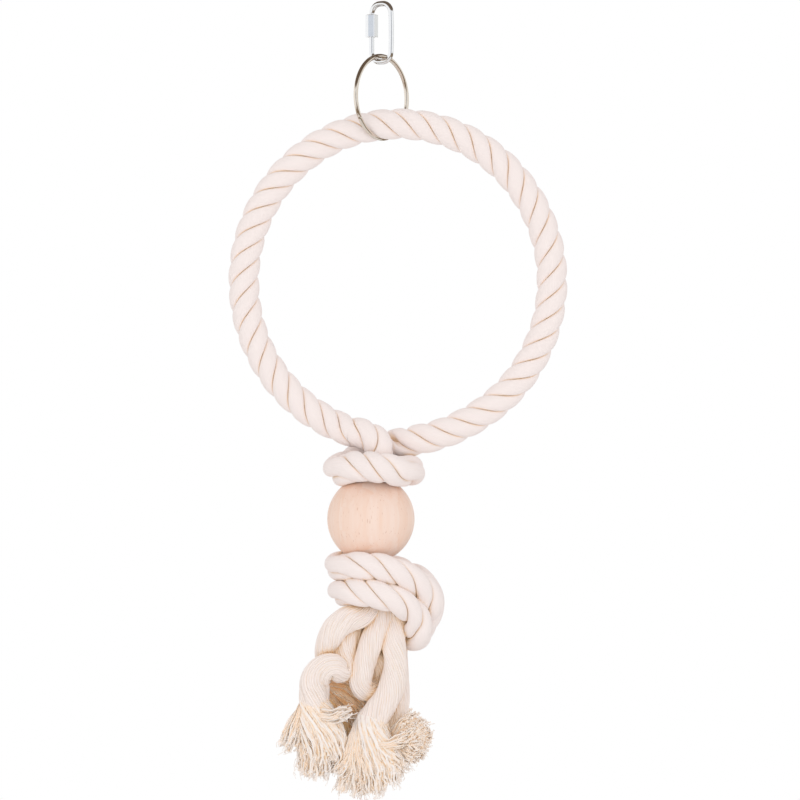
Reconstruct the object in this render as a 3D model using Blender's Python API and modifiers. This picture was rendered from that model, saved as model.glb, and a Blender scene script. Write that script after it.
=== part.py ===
"""Rope ring swing for a bird cage.

A quick link clips to a bar of the cage and carries a wire ring. A ring of three-strand cotton rope, stiffened by
a wire in its heart, hangs in the wire ring. The two ends of the rope meet at the bottom: the right one goes once
round the left one as a collar, both pass through a wooden ball, and a big knot under the ball carries it. Below
the knot the ends are unlaid into six frayed strands.

Metres, +Z up, +Y away from the viewer. The origin is where the cage bar lies, inside the top of the quick link.
"""

import math

import bmesh
import bpy
import numpy as np
from mathutils import Matrix, Vector

MM = 0.001

# Quick link
LINK_LENGTH = 37.3 * MM
LINK_WIDTH = 17.7 * MM
LINK_WIRE = 3.2 * MM
LINK_CORNER = 6.0 * MM
LINK_TURN = math.radians(-38)
NUT_LENGTH = 13.2 * MM
NUT_FLATS = 6.8 * MM
NUT_EDGE = 0.35 * MM
NUT_CLEARANCE = 0.2 * MM
GATE_STUB = 1.7 * MM
GATE_GAP = 6.0 * MM

# Hanging ring
RING_OUTER = 51.0 * MM
RING_WIRE = 2.7 * MM
RING_SEAM = math.radians(211)
SEAM_GAP = 0.3 * MM

# Rope ring
ROPE_RING_WIDE = 90.6 * MM
ROPE_RING_TALL = 92.6 * MM
ROPE_RING_SHIFT = 9.7 * MM
STRAND_RADIUS = 3.8 * MM
STRAND_OFFSET = 5.2 * MM
LAY_LENGTH = 39.4 * MM
CORE_WIRE = 1.8 * MM
STRANDS = 3
GROOVE_SLACK = 0.5 * MM

# Wooden ball
BALL_DIAMETER = 51.3 * MM
BALL_HEIGHT = 43.2 * MM
BALL_BORE = 26.0 * MM
BORE_EDGE = 0.5 * MM
BALL_SHIFT = -6.2 * MM

# Collar, knot and tails
BALL_SLACK = 2.3 * MM
TURN_SLACK = 1.4 * MM
COLLAR_STATIONS = 11
KNOT_SQUEEZE = 0.87
TAIL_RADIUS = 5.5 * MM

# Gap left between pieces that touch
TOUCH = 0.3 * MM

ROPE_RADIUS = STRAND_OFFSET + STRAND_RADIUS
LAY_PER_RADIAN = LAY_LENGTH / (2 * math.pi)
POINTS_PER_LAY = 12


def clear_scene():
    for leftover in list(bpy.data.objects):
        bpy.data.objects.remove(leftover)


def make_collection(name):
    collection = bpy.data.collections.new(name)
    bpy.context.scene.collection.children.link(collection)
    return collection


def make_material(name, colour, roughness, metallic):
    material = bpy.data.materials.new(name)
    material.use_nodes = True
    shader = material.node_tree.nodes["Principled BSDF"]
    shader.inputs["Base Color"].default_value = (*colour, 1.0)
    shader.inputs["Roughness"].default_value = roughness
    shader.inputs["Metallic"].default_value = metallic
    material.diffuse_color = (*colour, 1.0)
    return material


def make_pivot(name, place, parent):
    """An empty on a joint's axis, which the pieces of the moving body hang from."""
    pivot = bpy.data.objects.new(name, None)
    pivot.location = place
    PARTS.objects.link(pivot)
    hang_on(pivot, parent)
    return pivot


def hang_on(piece, pivot):
    if pivot is not None:
        piece.parent = pivot
        piece.matrix_parent_inverse = Matrix.Translation(world_place(pivot)).inverted()


def world_place(pivot):
    """Where a pivot stands: every pivot keeps its own world place as its location."""
    return Vector(pivot.location)


def add_piece(name, data, material, pivot):
    piece = bpy.data.objects.new(name, data)
    piece.data.materials.append(material)
    PARTS.objects.link(piece)
    hang_on(piece, pivot)
    return piece


def smooth_curve(stations):
    """A smooth curve through stations of (x, y, z, scale): its fine points, their lengths, and each station's length."""
    stations = np.array(stations, dtype=float)
    chords = np.linalg.norm(np.diff(stations[:, :3], axis=0), axis=1)
    marks = np.concatenate(([0.0], np.cumsum(chords)))
    slopes = np.gradient(stations, marks, axis=0)
    steps = np.linspace(0, 1, 16, endpoint=False)[:, None]
    pieces = []
    for index, chord in enumerate(chords):
        start, end = stations[index], stations[index + 1]
        leave, arrive = slopes[index] * chord, slopes[index + 1] * chord
        pieces.append(
            (2 * steps**3 - 3 * steps**2 + 1) * start
            + (steps**3 - 2 * steps**2 + steps) * leave
            + (3 * steps**2 - 2 * steps**3) * end
            + (steps**3 - steps**2) * arrive
        )
    fine = np.concatenate(pieces + [stations[-1:]])
    lengths = np.concatenate(([0.0], np.cumsum(np.linalg.norm(np.diff(fine[:, :3], axis=0), axis=1))))
    return fine, lengths, lengths[:: len(steps)]


def stretch_of(curve, start, stop, step):
    """Evenly spaced points of a smooth curve between two lengths along it, and those lengths.

    A point close to each end makes the end face square to the curve, so that two lengths meet face to face.
    """
    fine, lengths, _ = curve
    count = max(2, round((stop - start) / step))
    wanted = np.linspace(start, stop, count + 1)
    near = step / 12
    wanted = np.concatenate(([start, start + near], wanted[1:-1], [stop - near, stop]))
    return np.column_stack([np.interp(wanted, lengths, fine[:, axis]) for axis in range(4)]), wanted


def add_curve(name, points, material, pivot, depth=0.0, profile=None, resolution=2, tilts=None):
    """A piece swept along points of (x, y, z, scale): a round wire of radius depth, or a profile curve."""
    curve = bpy.data.curves.new(name, "CURVE")
    curve.dimensions = "3D"
    curve.twist_mode = "MINIMUM"
    curve.use_fill_caps = True
    if profile is None:
        curve.bevel_depth = depth
        curve.bevel_resolution = resolution
    else:
        curve.bevel_mode = "OBJECT"
        curve.bevel_object = profile
    spline = curve.splines.new("POLY")
    spline.points.add(len(points) - 1)
    for index, (x, y, z, scale) in enumerate(points):
        spline.points[index].co = (x, y, z, 1.0)
        spline.points[index].radius = scale
        if tilts is not None:
            spline.points[index].tilt = tilts[index]
    spline.use_smooth = True
    return add_piece(name, curve, material, pivot)


def finish_mesh(name, shape, material, pivot):
    mesh = bpy.data.meshes.new(name)
    shape.to_mesh(mesh)
    shape.free()
    mesh.shade_smooth()
    mesh.set_sharp_from_angle(angle=math.radians(35))
    return add_piece(name, mesh, material, pivot)


def neighbour_strands():
    """How near two neighbouring strands of the lay come, and how far their middle then is from the rope's axis."""
    spread = 2 * math.pi / STRANDS
    turns = np.linspace(-0.75 * spread, 0, 400)
    apart = np.sqrt(
        2 * STRAND_OFFSET**2 * (1 - np.cos(turns + spread)) + (LAY_PER_RADIAN * turns) ** 2
    )
    nearest = int(np.argmin(apart))
    return apart[nearest], STRAND_OFFSET * math.cos((turns[nearest] + spread) / 2)


def groove_seat():
    """Distance from the rope's axis to a ring wire that lies in the groove between two strands."""
    apart, middle = neighbour_strands()
    reach = STRAND_RADIUS + RING_WIRE / 2 + GROOVE_SLACK
    return middle + math.sqrt(reach**2 - (apart / 2) ** 2)


# Heights and places that follow from the sizes, from the top down
LINK_LOW = LINK_WIRE - LINK_LENGTH + LINK_WIRE / 2
LINK_HIGH = LINK_WIRE / 2
LEG_REACH = (LINK_WIDTH - LINK_WIRE) / 2
RING_RADIUS = (RING_OUTER - RING_WIRE) / 2
RING_HIGH = LINK_LOW + (LINK_WIRE + RING_WIRE) / 2 + TOUCH
RING_LOW = RING_HIGH - 2 * RING_RADIUS
HANG_SHARE = math.sqrt(1 - (ROPE_RING_SHIFT / ROPE_RING_WIDE) ** 2)
HANG_SLOPE = ROPE_RING_TALL * ROPE_RING_SHIFT / (ROPE_RING_WIDE**2 * HANG_SHARE)
ROPE_RING_Z = RING_LOW + groove_seat() * math.hypot(1, HANG_SLOPE) - ROPE_RING_TALL * HANG_SHARE
ROPE_RING_LOW = ROPE_RING_Z - ROPE_RING_TALL
NECK_RADIUS = (BALL_BORE / 2 - 1.5 * TOUCH) / 2
NECK_OFFSET = NECK_RADIUS + TOUCH / 2
NECK_SCALE = NECK_RADIUS / ROPE_RADIUS
TURN_DEPTH = NECK_OFFSET + NECK_RADIUS + TURN_SLACK + ROPE_RADIUS
COLLAR_Z = ROPE_RING_LOW - 2 * ROPE_RADIUS - TOUCH
BALL_Z = COLLAR_Z - math.sqrt((BALL_DIAMETER / 2 + ROPE_RADIUS + BALL_SLACK) ** 2 - TURN_DEPTH**2)
KNOT_LEFT = 2.15
KNOT_ROPE = ROPE_RADIUS * KNOT_SQUEEZE
KNOT_REACH = KNOT_LEFT * ROPE_RADIUS
KNOT_Z = BALL_Z - math.sqrt((BALL_DIAMETER / 2 + KNOT_ROPE + TOUCH) ** 2 - KNOT_REACH**2)
CORE_LOW = KNOT_Z - 1.68 * ROPE_RADIUS

RING_TURN = LINK_TURN + math.pi / 2
RING_SIDE = Vector((math.cos(RING_TURN), math.sin(RING_TURN), 0))
LINK_SIDE = Vector((math.cos(LINK_TURN), math.sin(LINK_TURN), 0))


def link_point(side, height):
    """A point in the plane of the quick link."""
    place = LINK_SIDE * side
    return (place.x, place.y, height, 1.0)


def build_quick_link(material):
    """The link's wire: from the gate up over the top, down the closed leg and up the other leg to the gate."""
    inner = LEG_REACH - LINK_CORNER
    corners = [
        (-inner, LINK_HIGH - LINK_CORNER, math.pi, math.pi / 2),
        (inner, LINK_HIGH - LINK_CORNER, math.pi / 2, 0),
        (inner, LINK_LOW + LINK_CORNER, 0, -math.pi / 2),
        (-inner, LINK_LOW + LINK_CORNER, -math.pi / 2, -math.pi),
    ]
    gate_top = LINK_HIGH - LINK_CORNER - GATE_STUB
    points = [link_point(-LEG_REACH, gate_top)]
    for side, height, start, end in corners:
        for angle in np.linspace(start, end, 7):
            points.append(link_point(side + LINK_CORNER * math.cos(angle), height + LINK_CORNER * math.sin(angle)))
    points.append(link_point(-LEG_REACH, gate_top - GATE_GAP))
    add_curve("quick_link_body", points, material, None, depth=LINK_WIRE / 2)


def build_nut(material):
    """A hexagon sleeve with eased edges, bored to run on the link's leg."""
    nut_high = LINK_HIGH - LINK_CORNER - NUT_CLEARANCE
    place = LINK_SIDE * -LEG_REACH + Vector((0, 0, nut_high - NUT_LENGTH / 2))
    pivot = make_pivot("nut_travel", place, None)
    turned = Matrix.Translation(place) @ Matrix.Rotation(LINK_TURN, 4, "Z")

    hexagon = bmesh.new()
    bmesh.ops.create_cone(
        hexagon,
        cap_ends=True,
        segments=6,
        radius1=NUT_FLATS / math.sqrt(3),
        radius2=NUT_FLATS / math.sqrt(3),
        depth=NUT_LENGTH,
        matrix=turned,
    )
    nut = finish_mesh("quick_link_nut", hexagon, material, pivot)
    eased = nut.modifiers.new("eased edges", "BEVEL")
    eased.width = NUT_EDGE
    eased.segments = 2

    drill = bmesh.new()
    bmesh.ops.create_cone(
        drill,
        cap_ends=True,
        segments=20,
        radius1=LINK_WIRE / 2 + NUT_CLEARANCE,
        radius2=LINK_WIRE / 2 + NUT_CLEARANCE,
        depth=2 * NUT_LENGTH,
        matrix=turned,
    )
    drill_mesh = bpy.data.meshes.new("nut_drill")
    drill.to_mesh(drill_mesh)
    drill.free()
    cutter = bpy.data.objects.new("nut_drill", drill_mesh)
    hide_guide(cutter)
    bore = nut.modifiers.new("bore", "BOOLEAN")
    bore.operation = "DIFFERENCE"
    bore.object = cutter


def hide_guide(guide):
    """A cutter or a profile is no part of the object."""
    guide.hide_render = True
    guide.display_type = "WIRE"
    GUIDES.objects.link(guide)


def build_hanging_ring(material, pivot):
    """A round wire bent into a ring until its two ends meet at the seam."""
    centre = Vector((0, 0, RING_HIGH - RING_RADIUS))
    half_gap = SEAM_GAP / 2 / RING_RADIUS
    points = []
    for angle in np.linspace(RING_SEAM + half_gap, RING_SEAM + 2 * math.pi - half_gap, 49):
        spot = centre + RING_SIDE * (RING_RADIUS * math.cos(angle)) + Vector((0, 0, RING_RADIUS * math.sin(angle)))
        points.append((*spot, 1.0))
    add_curve("hanging_ring", points, material, pivot, depth=RING_WIRE / 2)


def near_neck(x, y, z, scale, height):
    """A station given in rope radii from the neck's axis at a height."""
    return (BALL_SHIFT + x * ROPE_RADIUS, y * ROPE_RADIUS, height + z * ROPE_RADIUS, scale)


def round_neck(x, y, z, scale, height):
    """A station of a turn round the neck: x and z in rope radii, y in turn depths."""
    return (BALL_SHIFT + x * ROPE_RADIUS, y * TURN_DEPTH, height + z * ROPE_RADIUS, scale)


def on_rope_ring(degrees):
    """A station on the rope ring, which hangs a little taller than wide, by its angle from +X towards +Z."""
    angle = math.radians(degrees)
    return (
        ROPE_RING_SHIFT + ROPE_RING_WIDE * math.cos(angle),
        0.0,
        ROPE_RING_Z + ROPE_RING_TALL * math.sin(angle),
        1.0,
    )


def rope_route():
    """The whole rope, from the knot up its left end, round the ring, round the collar and down its right end.

    Returns its smooth curve with the lengths where the laid ring starts and stops and where the collar's turn ends.
    """
    ball_high = BALL_Z + BALL_HEIGHT / 2
    ball_low = BALL_Z - BALL_HEIGHT / 2
    left = [
        near_neck(0.9, -NECK_OFFSET / ROPE_RADIUS, 0, NECK_SCALE, CORE_LOW),
        near_neck(0.3, -NECK_OFFSET / ROPE_RADIUS, -0.6, NECK_SCALE, KNOT_Z),
        near_neck(0, -NECK_OFFSET / ROPE_RADIUS, 0, NECK_SCALE, ball_low),
        near_neck(0, -NECK_OFFSET / ROPE_RADIUS, 0.8, NECK_SCALE, ball_low),
        near_neck(0, -NECK_OFFSET / ROPE_RADIUS, -0.8, NECK_SCALE, ball_high),
        near_neck(0, -NECK_OFFSET / ROPE_RADIUS, 0, NECK_SCALE, ball_high),
        near_neck(0.13, -0.73, -0.06, 0.72, COLLAR_Z),
        near_neck(0.33, -0.82, -1.39, 0.80, ROPE_RING_LOW),
        near_neck(0.39, -0.91, -0.90, 0.90, ROPE_RING_LOW),
        near_neck(0.07, -0.84, -0.28, 0.98, ROPE_RING_LOW),
        near_neck(-0.53, -0.58, 0.14, 1.0, ROPE_RING_LOW),
        near_neck(-1.23, -0.27, 0.38, 1.0, ROPE_RING_LOW),
    ]
    ring = [on_rope_ring(degrees) for degrees in range(248, -75, -14)]
    right = [
        near_neck(2.68, 0.44, 0.02, 1.0, ROPE_RING_LOW),
        near_neck(1.76, 0.80, -0.04, 1.0, ROPE_RING_LOW),
        near_neck(0.92, 1.08, -0.14, 0.98, ROPE_RING_LOW),
        near_neck(0.27, 1.19, -0.31, 0.97, ROPE_RING_LOW),
        near_neck(-0.59, 1.24, -0.67, 0.97, ROPE_RING_LOW),
        near_neck(-1.47, 0.94, -1.17, 0.98, ROPE_RING_LOW),
        round_neck(-2.10, -0.04, 0.30, 1.0, COLLAR_Z),
        round_neck(-1.53, -0.65, 0.05, 1.0, COLLAR_Z),
        round_neck(-0.53, -0.95, 0.0, 1.0, COLLAR_Z),
        round_neck(0.69, -1.0, 0.0, 1.0, COLLAR_Z),
        round_neck(1.85, -0.78, -0.04, 1.0, COLLAR_Z),
        round_neck(2.53, -0.26, -0.07, 1.0, COLLAR_Z),
        round_neck(2.40, 0.26, -0.02, 0.95, COLLAR_Z),
        round_neck(1.63, 0.54, 0.0, 0.86, COLLAR_Z),
        round_neck(0.85, 0.56, 0.0, 0.78, COLLAR_Z),
        round_neck(0.24, 0.40, -0.18, 0.71, COLLAR_Z),
        near_neck(0, NECK_OFFSET / ROPE_RADIUS, 0.05, NECK_SCALE, ball_high),
        near_neck(0, NECK_OFFSET / ROPE_RADIUS, -0.8, NECK_SCALE, ball_high),
        near_neck(0, NECK_OFFSET / ROPE_RADIUS, 0.8, NECK_SCALE, ball_low),
        near_neck(0, NECK_OFFSET / ROPE_RADIUS, 0, NECK_SCALE, ball_low),
        near_neck(0.3, NECK_OFFSET / ROPE_RADIUS, -0.6, NECK_SCALE, KNOT_Z),
        near_neck(0.9, NECK_OFFSET / ROPE_RADIUS, 0, NECK_SCALE, CORE_LOW),
    ]
    curve = smooth_curve(left + ring + right)
    marks = curve[2]
    laid_start = marks[len(left) - 1]
    laid_stop = marks[len(left) + len(ring) + 1]
    collar_stop = marks[len(left) + len(ring) + COLLAR_STATIONS]
    return curve, laid_start, laid_stop, collar_stop


def build_rope_profile():
    """The outline of a three-strand rope: three lobes round the axis."""
    outline = bpy.data.curves.new("rope_profile", "CURVE")
    outline.dimensions = "2D"
    outline.fill_mode = "NONE"
    spline = outline.splines.new("POLY")
    corners = 4 * STRANDS
    spline.points.add(corners - 1)
    for index in range(corners):
        angle = -2 * math.pi * index / corners
        reach = ROPE_RADIUS * (0.85 + 0.15 * math.cos(STRANDS * angle))
        spline.points[index].co = (reach * math.cos(angle), reach * math.sin(angle), 0, 1.0)
    spline.use_cyclic_u = True
    profile = bpy.data.objects.new("rope_profile", outline)
    hide_guide(profile)
    return profile


def add_rope(name, curve, start, stop, profile, material, pivot):
    """A length of whole rope, its lobes turning with the lay."""
    points, lengths = stretch_of(curve, start, stop, LAY_LENGTH / POINTS_PER_LAY)
    tilts = 2 * math.pi * lengths / LAY_LENGTH
    add_curve(name, points, material, pivot, profile=profile, tilts=tilts)


def build_laid_ring(curve, laid_start, laid_stop, strand_material, wire_material, pivot):
    """Three strands wound round the rope's axis, and the wire in its heart that holds the circle.

    A groove of the lay faces down where the hanging ring crosses, and the ring's wire lies in it.
    """
    trim = STRAND_RADIUS + TOUCH
    start, stop = laid_start + trim, laid_stop - trim
    points, lengths = stretch_of(curve, start, stop, LAY_LENGTH / POINTS_PER_LAY)
    places = [Vector(point[:3]) for point in points]
    tangents = [
        (places[min(index + 1, len(places) - 1)] - places[max(index - 1, 0)]).normalized()
        for index in range(len(places))
    ]

    ring_wire = Vector((0, 0, RING_LOW))
    hang = min(range(len(places)), key=lambda index: (places[index] - ring_wire).length)
    hang_length = lengths[hang] + (ring_wire - places[hang]).dot(tangents[hang])
    normals = [None] * len(places)
    normals[hang] = tangents[hang].cross(Vector((0, 1, 0))).normalized()
    for index in range(hang + 1, len(places)):
        normals[index] = tangents[index - 1].rotation_difference(tangents[index]) @ normals[index - 1]
    for index in range(hang - 1, -1, -1):
        normals[index] = tangents[index + 1].rotation_difference(tangents[index]) @ normals[index + 1]

    for strand in range(STRANDS):
        strand_points = []
        for index, place in enumerate(places):
            turn = (lengths[index] - hang_length) / LAY_PER_RADIAN + 2 * math.pi * strand / STRANDS
            scale = points[index][3]
            side = tangents[index].cross(normals[index])
            offset = normals[index] * math.cos(turn) + side * math.sin(turn)
            strand_points.append((*(place + offset * (STRAND_OFFSET * scale)), scale))
        name = f"ring_strand_{strand + 1}"
        add_curve(name, strand_points, strand_material, pivot, depth=STRAND_RADIUS, resolution=1)

    wire_points, _ = stretch_of(curve, start, stop, LAY_LENGTH / 4)
    wire_points[:, 3] = 1.0
    add_curve("ring_core_wire", wire_points, wire_material, pivot, depth=CORE_WIRE / 2, resolution=1)


def build_ball(material, pivot):
    """A turned ball, flat at its poles, with a through bore and eased bore edges."""
    radius = BALL_DIAMETER / 2
    half = BALL_HEIGHT / 2
    pole = math.asin(half / radius)
    profile = [(radius * math.cos(angle), radius * math.sin(angle)) for angle in np.linspace(pole, -pole, 15)]
    bore = BALL_BORE / 2
    profile += [(bore + BORE_EDGE, -half), (bore, -half + BORE_EDGE), (bore, half - BORE_EDGE), (bore + BORE_EDGE, half)]
    outline = bmesh.new()
    corners = [outline.verts.new((across, 0, height)) for across, height in profile]
    for index, corner in enumerate(corners):
        outline.edges.new((corner, corners[(index + 1) % len(corners)]))
    mesh = bpy.data.meshes.new("wooden_ball")
    outline.to_mesh(mesh)
    outline.free()
    ball = bpy.data.objects.new("wooden_ball", mesh)
    mesh.materials.append(material)
    PARTS.objects.link(ball)
    ball.location = (BALL_SHIFT, 0, BALL_Z)
    hang_on(ball, pivot)
    turned = ball.modifiers.new("turned", "SCREW")
    turned.steps = turned.render_steps = 36
    turned.use_merge_vertices = True
    turned.merge_threshold = 0.01 * MM
    turned.use_smooth_shade = True


def build_knot(profile, material, pivot):
    """The knot's rope: a side loop that climbs from below into the upper turn, and the lower turn beneath it."""
    upper = [
        (2.21, 0.35, -4.34),
        (2.95, 0.37, -4.19),
        (3.67, 0.41, -3.34),
        (3.89, 0.45, -2.12),
        (3.35, 0.60, -1.02),
        (2.12, 0.86, -0.46),
        (0.58, 0.98, -0.19),
        (-0.97, 0.76, -0.08),
        (-1.97, 0.30, 0.0),
        (-KNOT_LEFT, -0.13, 0.0),
        (-1.58, -0.65, 0.09),
        (-0.53, -0.95, 0.19),
        (0.58, -1.0, 0.09),
        (1.68, -0.95, -0.24),
        (2.87, -0.71, -0.96),
        (3.70, -0.38, -1.90),
        (3.85, -0.28, -2.28),
    ]
    lower = [
        (1.24, 0.86, -2.33),
        (0.02, 0.90, -2.10),
        (-1.19, 0.63, -1.93),
        (-1.86, 0.13, -1.82),
        (-1.75, -0.39, -1.77),
        (-0.92, -0.82, -1.77),
        (0.24, -0.99, -1.94),
        (1.46, -0.93, -2.36),
        (2.51, -0.74, -3.01),
        (3.04, -0.54, -3.73),
        (3.06, -0.41, -4.28),
    ]
    loop_stations = 6
    climb = smooth_curve([round_neck(*station, KNOT_SQUEEZE, KNOT_Z) for station in upper])
    parting = climb[2][loop_stations - 1]
    add_rope("knot_side_loop", climb, 0, parting - TOUCH, profile, material, pivot)
    add_rope("knot_upper_turn", climb, parting + TOUCH, climb[1][-1], profile, material, pivot)
    wrap = smooth_curve([round_neck(*station, KNOT_SQUEEZE, KNOT_Z) for station in lower])
    add_rope("knot_lower_turn", wrap, 0, wrap[1][-1], profile, material, pivot)


# Routes of the unlaid strands below the knot: millimetres from the neck's axis at the knot's height, and a share
# of the tail radius: thin where the knot squeezes them, full on the way down, wide where the tips fray.
TAIL_ROUTES = [
    [
        (0, -9, -18.8, 0.6),
        (0.6, -10.8, -24.0, 0.62),
        (-4.2, -13.5, -28.8, 0.8),
        (-14.4, -14.5, -30.8, 1.0),
        (-21.5, -12.5, -36, 1.0),
        (-26.6, -8.5, -43, 1.0),
        (-30, -3, -50, 1.0),
        (-31, 4, -58.5, 1.0),
        (-29, 10, -70, 1.05),
        (-27.5, 13, -84, 1.2),
        (-28, 14, -98, 1.7),
        (-30, 14, -112, 2.1),
        (-31, 14, -120, 1.5),
    ],
    [
        (3.2, 1, -18, 0.6),
        (0, 0.5, -28, 0.7),
        (-6.5, -1.5, -37, 0.85),
        (-10.5, -2.5, -46, 0.95),
        (-13, -2, -54, 0.95),
        (-15.6, -4.5, -61, 0.95),
        (-17.4, -10.5, -64.3, 1.0),
        (-20, -16, -62.5, 1.0),
        (-25.5, -18.8, -59.8, 1.0),
        (-31.5, -17.8, -60.2, 1.0),
        (-35, -15.3, -65.5, 1.0),
        (-36.2, -14, -73.5, 1.1),
        (-36, -13.5, -83, 1.3),
        (-35, -14, -95, 1.9),
        (-33.5, -15, -108, 2.4),
        (-32, -15, -122, 2.2),
        (-31.5, -15, -130, 1.5),
    ],
    [
        (9, -8.5, -18, 0.6),
        (7.6, -11, -29.7, 0.66),
        (2.2, -12.8, -40, 0.85),
        (-2.2, -13.5, -51, 0.95),
        (-4.7, -13.5, -61, 0.95),
        (-6.2, -12, -70, 1.0),
        (-5, -7, -76, 1.0),
        (1, 0, -74, 1.0),
        (7, 5.5, -71.5, 1.0),
        (13, 9.5, -74, 1.0),
        (17, 12, -82, 1.0),
        (19, 13, -94, 1.3),
        (20, 13, -106, 1.4),
        (20.3, 13, -112, 0.9),
    ],
    [
        (15.4, -7, -18, 0.6),
        (14.8, -8.6, -31, 0.6),
        (13.6, -12, -43, 1.0),
        (14.2, -13, -54.6, 1.15),
        (14.1, -13.2, -65.2, 1.15),
        (11, -14, -74.5, 1.15),
        (3.6, -15, -85, 1.15),
        (-2.5, -15.5, -93, 1.25),
        (-4, -15.5, -100, 1.5),
        (-3.8, -15.5, -112, 2.2),
        (-3, -15.5, -124, 2.5),
        (-2.5, -15.5, -134, 1.7),
    ],
    [
        (19, 1.8, -18, 0.6),
        (17.5, 2.6, -28, 0.62),
        (14.6, 3, -37, 0.72),
        (15, 2, -50, 0.9),
        (19, 1, -62, 1.0),
        (20.3, -1, -72, 1.0),
        (18, -2, -83, 1.0),
        (13.3, -4.5, -94, 1.0),
        (12.6, -8, -101, 1.0),
        (17.5, -11.5, -100.5, 1.1),
        (24, -12.5, -97, 1.6),
        (30, -12.5, -95, 2.0),
        (36, -12.5, -94, 1.3),
    ],
    [
        (10, 2.5, -17, 0.6),
        (7.2, 6.5, -31, 0.7),
        (4, 12, -47, 0.95),
        (-2, 15.5, -61, 1.0),
        (-6, 17, -73, 1.0),
        (-7.5, 17, -84, 1.1),
        (-7, 16, -96, 1.4),
        (-5.5, 15, -112, 1.9),
        (-5, 14.5, -122, 1.4),
    ],
]
TAIL_STEP = 7.0 * MM


def build_tails(material, pivot):
    """Six soft strands that hang from the knot, each along its own route."""
    for number, stations in enumerate(TAIL_ROUTES, start=1):
        placed = [(BALL_SHIFT + x * MM, y * MM, KNOT_Z + z * MM, share) for x, y, z, share in stations]
        curve = smooth_curve(placed)
        points, _ = stretch_of(curve, 0, curve[1][-1], TAIL_STEP)
        add_curve(f"tail_strand_{number}", points, material, pivot, depth=TAIL_RADIUS)


clear_scene()
PARTS = make_collection("rope_ring_swing")
GUIDES = make_collection("guides")

zinc = make_material("zinc plated steel", (0.72, 0.73, 0.74), 0.28, 1.0)
nickel = make_material("nickel plated steel", (0.66, 0.61, 0.55), 0.16, 1.0)
steel = make_material("bright steel wire", (0.55, 0.55, 0.56), 0.35, 1.0)
cotton = make_material("natural cotton rope", (0.87, 0.775, 0.745), 0.9, 0.0)
loose_cotton = make_material("unlaid cotton yarn", (0.87, 0.75, 0.69), 0.92, 0.0)
beech = make_material("turned beech", (0.89, 0.68, 0.59), 0.5, 0.0)

build_quick_link(zinc)
build_nut(zinc)
ring_pivot = make_pivot("ring_swing", (0, 0, LINK_LOW), None)
build_hanging_ring(nickel, ring_pivot)
rope_pivot = make_pivot("rope_swing", (0, 0, RING_LOW), ring_pivot)
route, ring_start, ring_stop, collar_end = rope_route()
rope_outline = build_rope_profile()
build_laid_ring(route, ring_start, ring_stop, cotton, steel, rope_pivot)
add_rope("left_rope_end", route, 0, ring_start, rope_outline, cotton, rope_pivot)
add_rope("rope_collar", route, ring_stop, collar_end - TOUCH, rope_outline, cotton, rope_pivot)
add_rope("right_rope_end", route, collar_end + TOUCH, route[1][-1], rope_outline, cotton, rope_pivot)
build_ball(beech, rope_pivot)
build_knot(rope_outline, cotton, rope_pivot)
build_tails(loose_cotton, rope_pivot)
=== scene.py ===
"""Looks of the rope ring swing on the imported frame: cotton rope, frayed tails, beech ball, plated steel."""

import math

import bmesh
import bpy
import numpy as np
from mathutils import Matrix, Vector


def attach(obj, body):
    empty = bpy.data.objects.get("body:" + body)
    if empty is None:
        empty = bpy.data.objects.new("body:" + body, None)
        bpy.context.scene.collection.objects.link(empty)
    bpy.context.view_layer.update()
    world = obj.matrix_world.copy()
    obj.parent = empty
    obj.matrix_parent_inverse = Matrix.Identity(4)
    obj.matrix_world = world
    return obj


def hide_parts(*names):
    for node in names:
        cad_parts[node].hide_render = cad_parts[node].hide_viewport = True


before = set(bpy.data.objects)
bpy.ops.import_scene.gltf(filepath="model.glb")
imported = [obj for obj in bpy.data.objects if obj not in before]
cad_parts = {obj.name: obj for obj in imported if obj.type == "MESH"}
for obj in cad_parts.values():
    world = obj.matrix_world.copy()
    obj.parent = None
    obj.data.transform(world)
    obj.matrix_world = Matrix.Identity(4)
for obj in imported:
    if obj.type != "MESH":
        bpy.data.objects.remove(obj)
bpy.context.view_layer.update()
MM = 0.001


# The camera. The swing was photographed square on and from some way off, with the quick link at the top edge
# and the frayed tails just inside the bottom edge.
def placed(name, data):
    """A new object in the scene."""
    made = bpy.data.objects.new(name, data)
    bpy.context.scene.collection.objects.link(made)
    return made


VIEW_WIDTH = 470.4 * MM
VIEW_AWAY = 2.4
VIEW_MIDDLE = (10.9 * MM, -231.4 * MM)
SENSOR = 36.0
camera_data = bpy.data.cameras.new("camera")
camera_data.sensor_width = SENSOR
camera_data.lens = SENSOR * VIEW_AWAY / VIEW_WIDTH
camera_data.clip_end = 20.0
camera = placed("camera", camera_data)
camera.location = (VIEW_MIDDLE[0], -VIEW_AWAY, VIEW_MIDDLE[1])
camera.rotation_euler = (math.radians(90), 0, 0)
bpy.context.scene.camera = camera


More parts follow.
